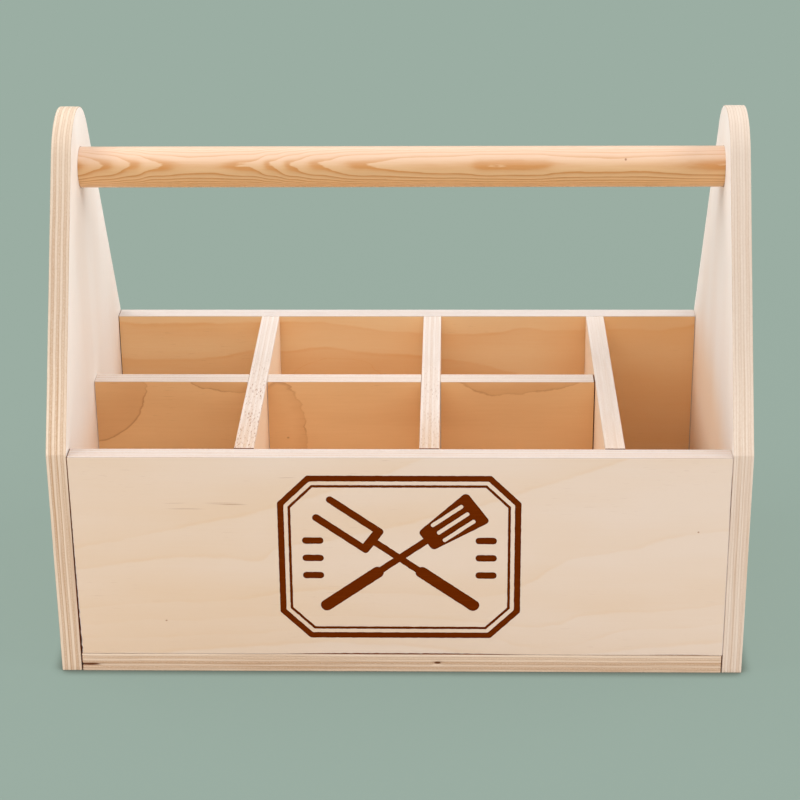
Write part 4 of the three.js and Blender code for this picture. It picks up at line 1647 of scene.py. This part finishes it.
class CADDY_OT_cross_dividers(Operator):
    """Builds the three cross dividers. The first two are slotted from below for the long divider"""

    bl_idname = "caddy.cross_dividers"
    bl_label = "Cross Dividers"

    def execute(self, context):
        sizes = context.scene.caddy_boards
        colours = context.scene.caddy_colours
        face = veneer_face("cross_divider_veneer", "YZX", colours.cross_light, colours.cross_dark)
        for column in ("left", "middle", "right"):
            node = f"cross_divider_{column}"
            low, high = plane_box(node, GABLE_PLANE)
            corners = rectangle(low[0], high[0], low[1], high[1])
            if column != "right":
                (middle,), half = lap_slots(node, GABLE_PLANE, ["long_divider"], sizes)
                floor = (low[1] + high[1]) / 2 + sizes.lap_clearance
                corners[1:1] = slot_corners(middle - half, middle + half, low[1], floor)
            edge = ply_edge(node, "YZX", GABLE_PLANE)
            add_board(
                node, GABLE_PLANE, sawn_outline(corners, sizes), (face, face, edge, pocket_wood())
            )
        return {"FINISHED"}


class CADDY_OT_long_divider(Operator):
    """Builds the long divider, slotted from above for the cross dividers that pass over it"""

    bl_idname = "caddy.long_divider"
    bl_label = "Long Divider"

    def execute(self, context):
        sizes = context.scene.caddy_boards
        colours = context.scene.caddy_colours
        node = "long_divider"
        low, high = plane_box(node, WALL_PLANE)
        middles, half = lap_slots(node, WALL_PLANE, ["cross_divider_middle", "cross_divider_left"], sizes)
        floor = (low[1] + high[1]) / 2 - sizes.lap_clearance
        corners = rectangle(low[0] - sizes.tight_joint, high[0] + 2 * sizes.tight_joint, low[1], high[1])
        slots = []
        for middle in middles:
            slots += slot_corners(middle + half, middle - half, high[1], floor)
        corners[3:3] = slots
        front = veneer_face(
            "divider_veneer_front", "XZY", colours.divider_light, colours.divider_dark, DIVIDER_LINES,
            DIVIDER_PATCHES, DIVIDER_STREAKS, line_share=0.62, jag_reach=5.0, seam=1.4, crease_share=0.32,
        )
        back = veneer_face("divider_veneer_back", "XZY", colours.divider_light, colours.divider_dark)
        edge = ply_edge(node, "XZY", WALL_PLANE)
        add_board(node, WALL_PLANE, sawn_outline(corners, sizes), (back, front, edge, pocket_wood()))
        return {"FINISHED"}


class CADDY_OT_handle(Operator):
    """Builds the round pine handle"""

    bl_idname = "caddy.handle"
    bl_label = "Handle"

    def execute(self, context):
        low, high = np.array(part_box("handle_dowel"))
        middle = (low + high) / 2
        middle[0] = 0
        radius = float(high[2] - low[2]) / 2
        surface = dowel_surface(radius, (low[0], high[0]), HANDLE_EASE, HANDLE_STEP)
        add_turned("handle_dowel", 0, 1, middle, surface, [pine_rings(middle, radius)])
        return {"FINISHED"}


class CADDY_OT_fasteners(Operator):
    """Builds the nails and the two handle screws"""

    bl_idname = "caddy.fasteners"
    bl_label = "Nails and Screws"

    def execute(self, context):
        sizes = context.scene.caddy_fasteners
        steel = plated_steel()
        for kind, shape in (("_nail_", nail_surface), ("_screw_", screw_surface)):
            for found in fasteners(kind):
                surface = shape(sizes, found.radius, found.reach)
                add_turned(found.node, found.axis, found.heading, found.head, surface, [steel])
        return {"FINISHED"}


def stage_floor(studio, colours):
    """Plain floor. The camera sees its flat colour, which keeps part of the shadow near the caddy."""
    half = studio.floor_size / 2
    points = [(*corner, 0) for corner in rectangle(-half, half, -half, half)]
    mesh = bpy.data.meshes.new("floor")
    mesh.from_pydata(points, [], [(0, 1, 2, 3)])
    floor = bpy.data.objects.new("floor", mesh)
    bpy.context.scene.collection.objects.link(floor)
    material = bpy.data.materials.new("floor")
    material.use_nodes = True
    material.node_tree.nodes.clear()
    wiring = Wiring(material.node_tree)
    seen = direct_ray(wiring)
    place = wiring.node("ShaderNodeTexCoord").outputs["Object"]
    away = wiring.node("ShaderNodeVectorMath", {0: place}, operation="LENGTH").outputs["Value"]
    share = wiring.vary(away, *SHADOW_FADE, studio.shadow_share, 0.0)
    lit = wiring.node("ShaderNodeBsdfDiffuse", {"Color": colours.shaded_ground}).outputs[0]
    open_sky = wiring.node("ShaderNodeAmbientOcclusion", {"Distance": studio.contact_reach}).outputs["AO"]
    hidden = wiring.vary(open_sky, 0.45, 1.0, studio.contact_shade, 0.0)
    ground = wiring.blend(hidden, colours.ground, colours.contact)
    flat = wiring.node("ShaderNodeEmission", {"Color": ground, "Strength": 1.0}).outputs[0]
    shown = wiring.node("ShaderNodeMixShader", {0: share, 1: flat, 2: lit}).outputs[0]
    bounced = wiring.node("ShaderNodeBsdfDiffuse", {"Color": colours.bounce}).outputs[0]
    surface = wiring.node("ShaderNodeMixShader", {0: seen, 1: bounced, 2: shown}).outputs[0]
    wiring.node("ShaderNodeOutputMaterial", {"Surface": surface})
    mesh.materials.append(material)


def direct_ray(wiring):
    """1 for what the camera sees, directly or in a reflection or through glass."""
    path = wiring.node("ShaderNodeLightPath").outputs
    bent = wiring.math("MAXIMUM", path["Is Glossy Ray"], path["Is Transmission Ray"])
    return wiring.math("MAXIMUM", path["Is Camera Ray"], bent)


def stage_sky(studio, colours):
    """Even neutral light from all round, which shows as the ground's colour."""
    world = bpy.data.worlds.new("studio")
    world.use_nodes = True
    world.node_tree.nodes.clear()
    wiring = Wiring(world.node_tree)
    light = wiring.node("ShaderNodeBackground", {"Color": (1, 1, 1, 1), "Strength": studio.sky}).outputs[0]
    shown = wiring.node("ShaderNodeBackground", {"Color": colours.ground, "Strength": 1.0}).outputs[0]
    surface = wiring.node("ShaderNodeMixShader", {0: direct_ray(wiring), 1: light, 2: shown}).outputs[0]
    wiring.node("ShaderNodeOutputWorld", {"Surface": surface})
    bpy.context.scene.world = world


def stage_light(lamp, watts):
    """Soft rectangular panel at a lamp's place, turned to the caddy."""
    light = bpy.data.lights.new(lamp.name, "AREA")
    light.shape = "RECTANGLE"
    light.size = lamp.width
    light.size_y = lamp.depth
    light.energy = watts
    panel = bpy.data.objects.new(lamp.name, light)
    panel.location = lamp.place
    panel.rotation_euler = (Vector(LAMP_AIM) - Vector(lamp.place)).to_track_quat("-Z", "Y").to_euler()
    bpy.context.scene.collection.objects.link(panel)


class CADDY_OT_stage(Operator):
    """Sets up the floor, the even sky, the soft light panels and the camera"""

    bl_idname = "caddy.stage"
    bl_label = "Stage"

    def execute(self, context):
        studio = context.scene.caddy_studio
        colours = context.scene.caddy_colours
        stage_floor(studio, colours)
        stage_sky(studio, colours)
        for lamp in LAMPS:
            stage_light(lamp, getattr(studio, lamp.power))
        camera = bpy.data.objects.new("camera", bpy.data.cameras.new("camera"))
        camera.data.lens = studio.camera_lens
        camera.data.sensor_width = SENSOR_WIDTH
        camera.location = studio.camera_place
        turn = Euler((math.pi / 2 - studio.camera_pitch, 0, studio.camera_yaw)).to_matrix()
        lean = Euler((0, 0, -studio.camera_roll)).to_matrix()
        camera.rotation_euler = (turn @ lean).to_euler()
        context.scene.collection.objects.link(camera)
        context.scene.camera = camera
        context.scene.view_settings.view_transform = "Standard"
        return {"FINISHED"}


class CADDY_PT_sidebar(Panel):
    """Lists the pieces in the order they are built, and the values that shape them"""

    bl_label = "Barbecue Caddy"
    bl_idname = "CADDY_PT_sidebar"
    bl_space_type = "VIEW_3D"
    bl_region_type = "UI"
    bl_category = "Caddy"

    def draw(self, context):
        layout = self.layout
        for operator in PIECES:
            layout.operator(operator.bl_idname)
        for name in GROUPS:
            box = layout.box()
            box.label(text=name.replace("_", " ").title())
            values = getattr(context.scene, name)
            for key in values.__annotations__:
                box.prop(values, key)


GROUPS = {
    "caddy_boards": CaddyBoards,
    "caddy_mark": CaddyMark,
    "caddy_fasteners": CaddyFasteners,
    "caddy_colours": CaddyColours,
    "caddy_studio": CaddyStudio,
}
PIECES = (
    CADDY_OT_side_panels,
    CADDY_OT_bottom_panel,
    CADDY_OT_front_panel,
    CADDY_OT_back_panel,
    CADDY_OT_cross_dividers,
    CADDY_OT_long_divider,
    CADDY_OT_handle,
    CADDY_OT_fasteners,
    CADDY_OT_stage,
)
CLASSES = (*GROUPS.values(), *PIECES, CADDY_PT_sidebar)


def register():
    """Adds the classes to Blender, and their values to every scene."""
    for kind in CLASSES:
        bpy.utils.register_class(kind)
    for name, kind in GROUPS.items():
        setattr(bpy.types.Scene, name, PointerProperty(type=kind))


def unregister():
    """Takes the values and the classes away again."""
    for name in GROUPS:
        delattr(bpy.types.Scene, name)
    for kind in reversed(CLASSES):
        bpy.utils.unregister_class(kind)


def main():
    """Registers the classes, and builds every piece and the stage."""
    register()
    for operator in PIECES:
        area, name = operator.bl_idname.split(".")
        getattr(getattr(bpy.ops, area), name)()


if __name__ == "__main__":
    main()
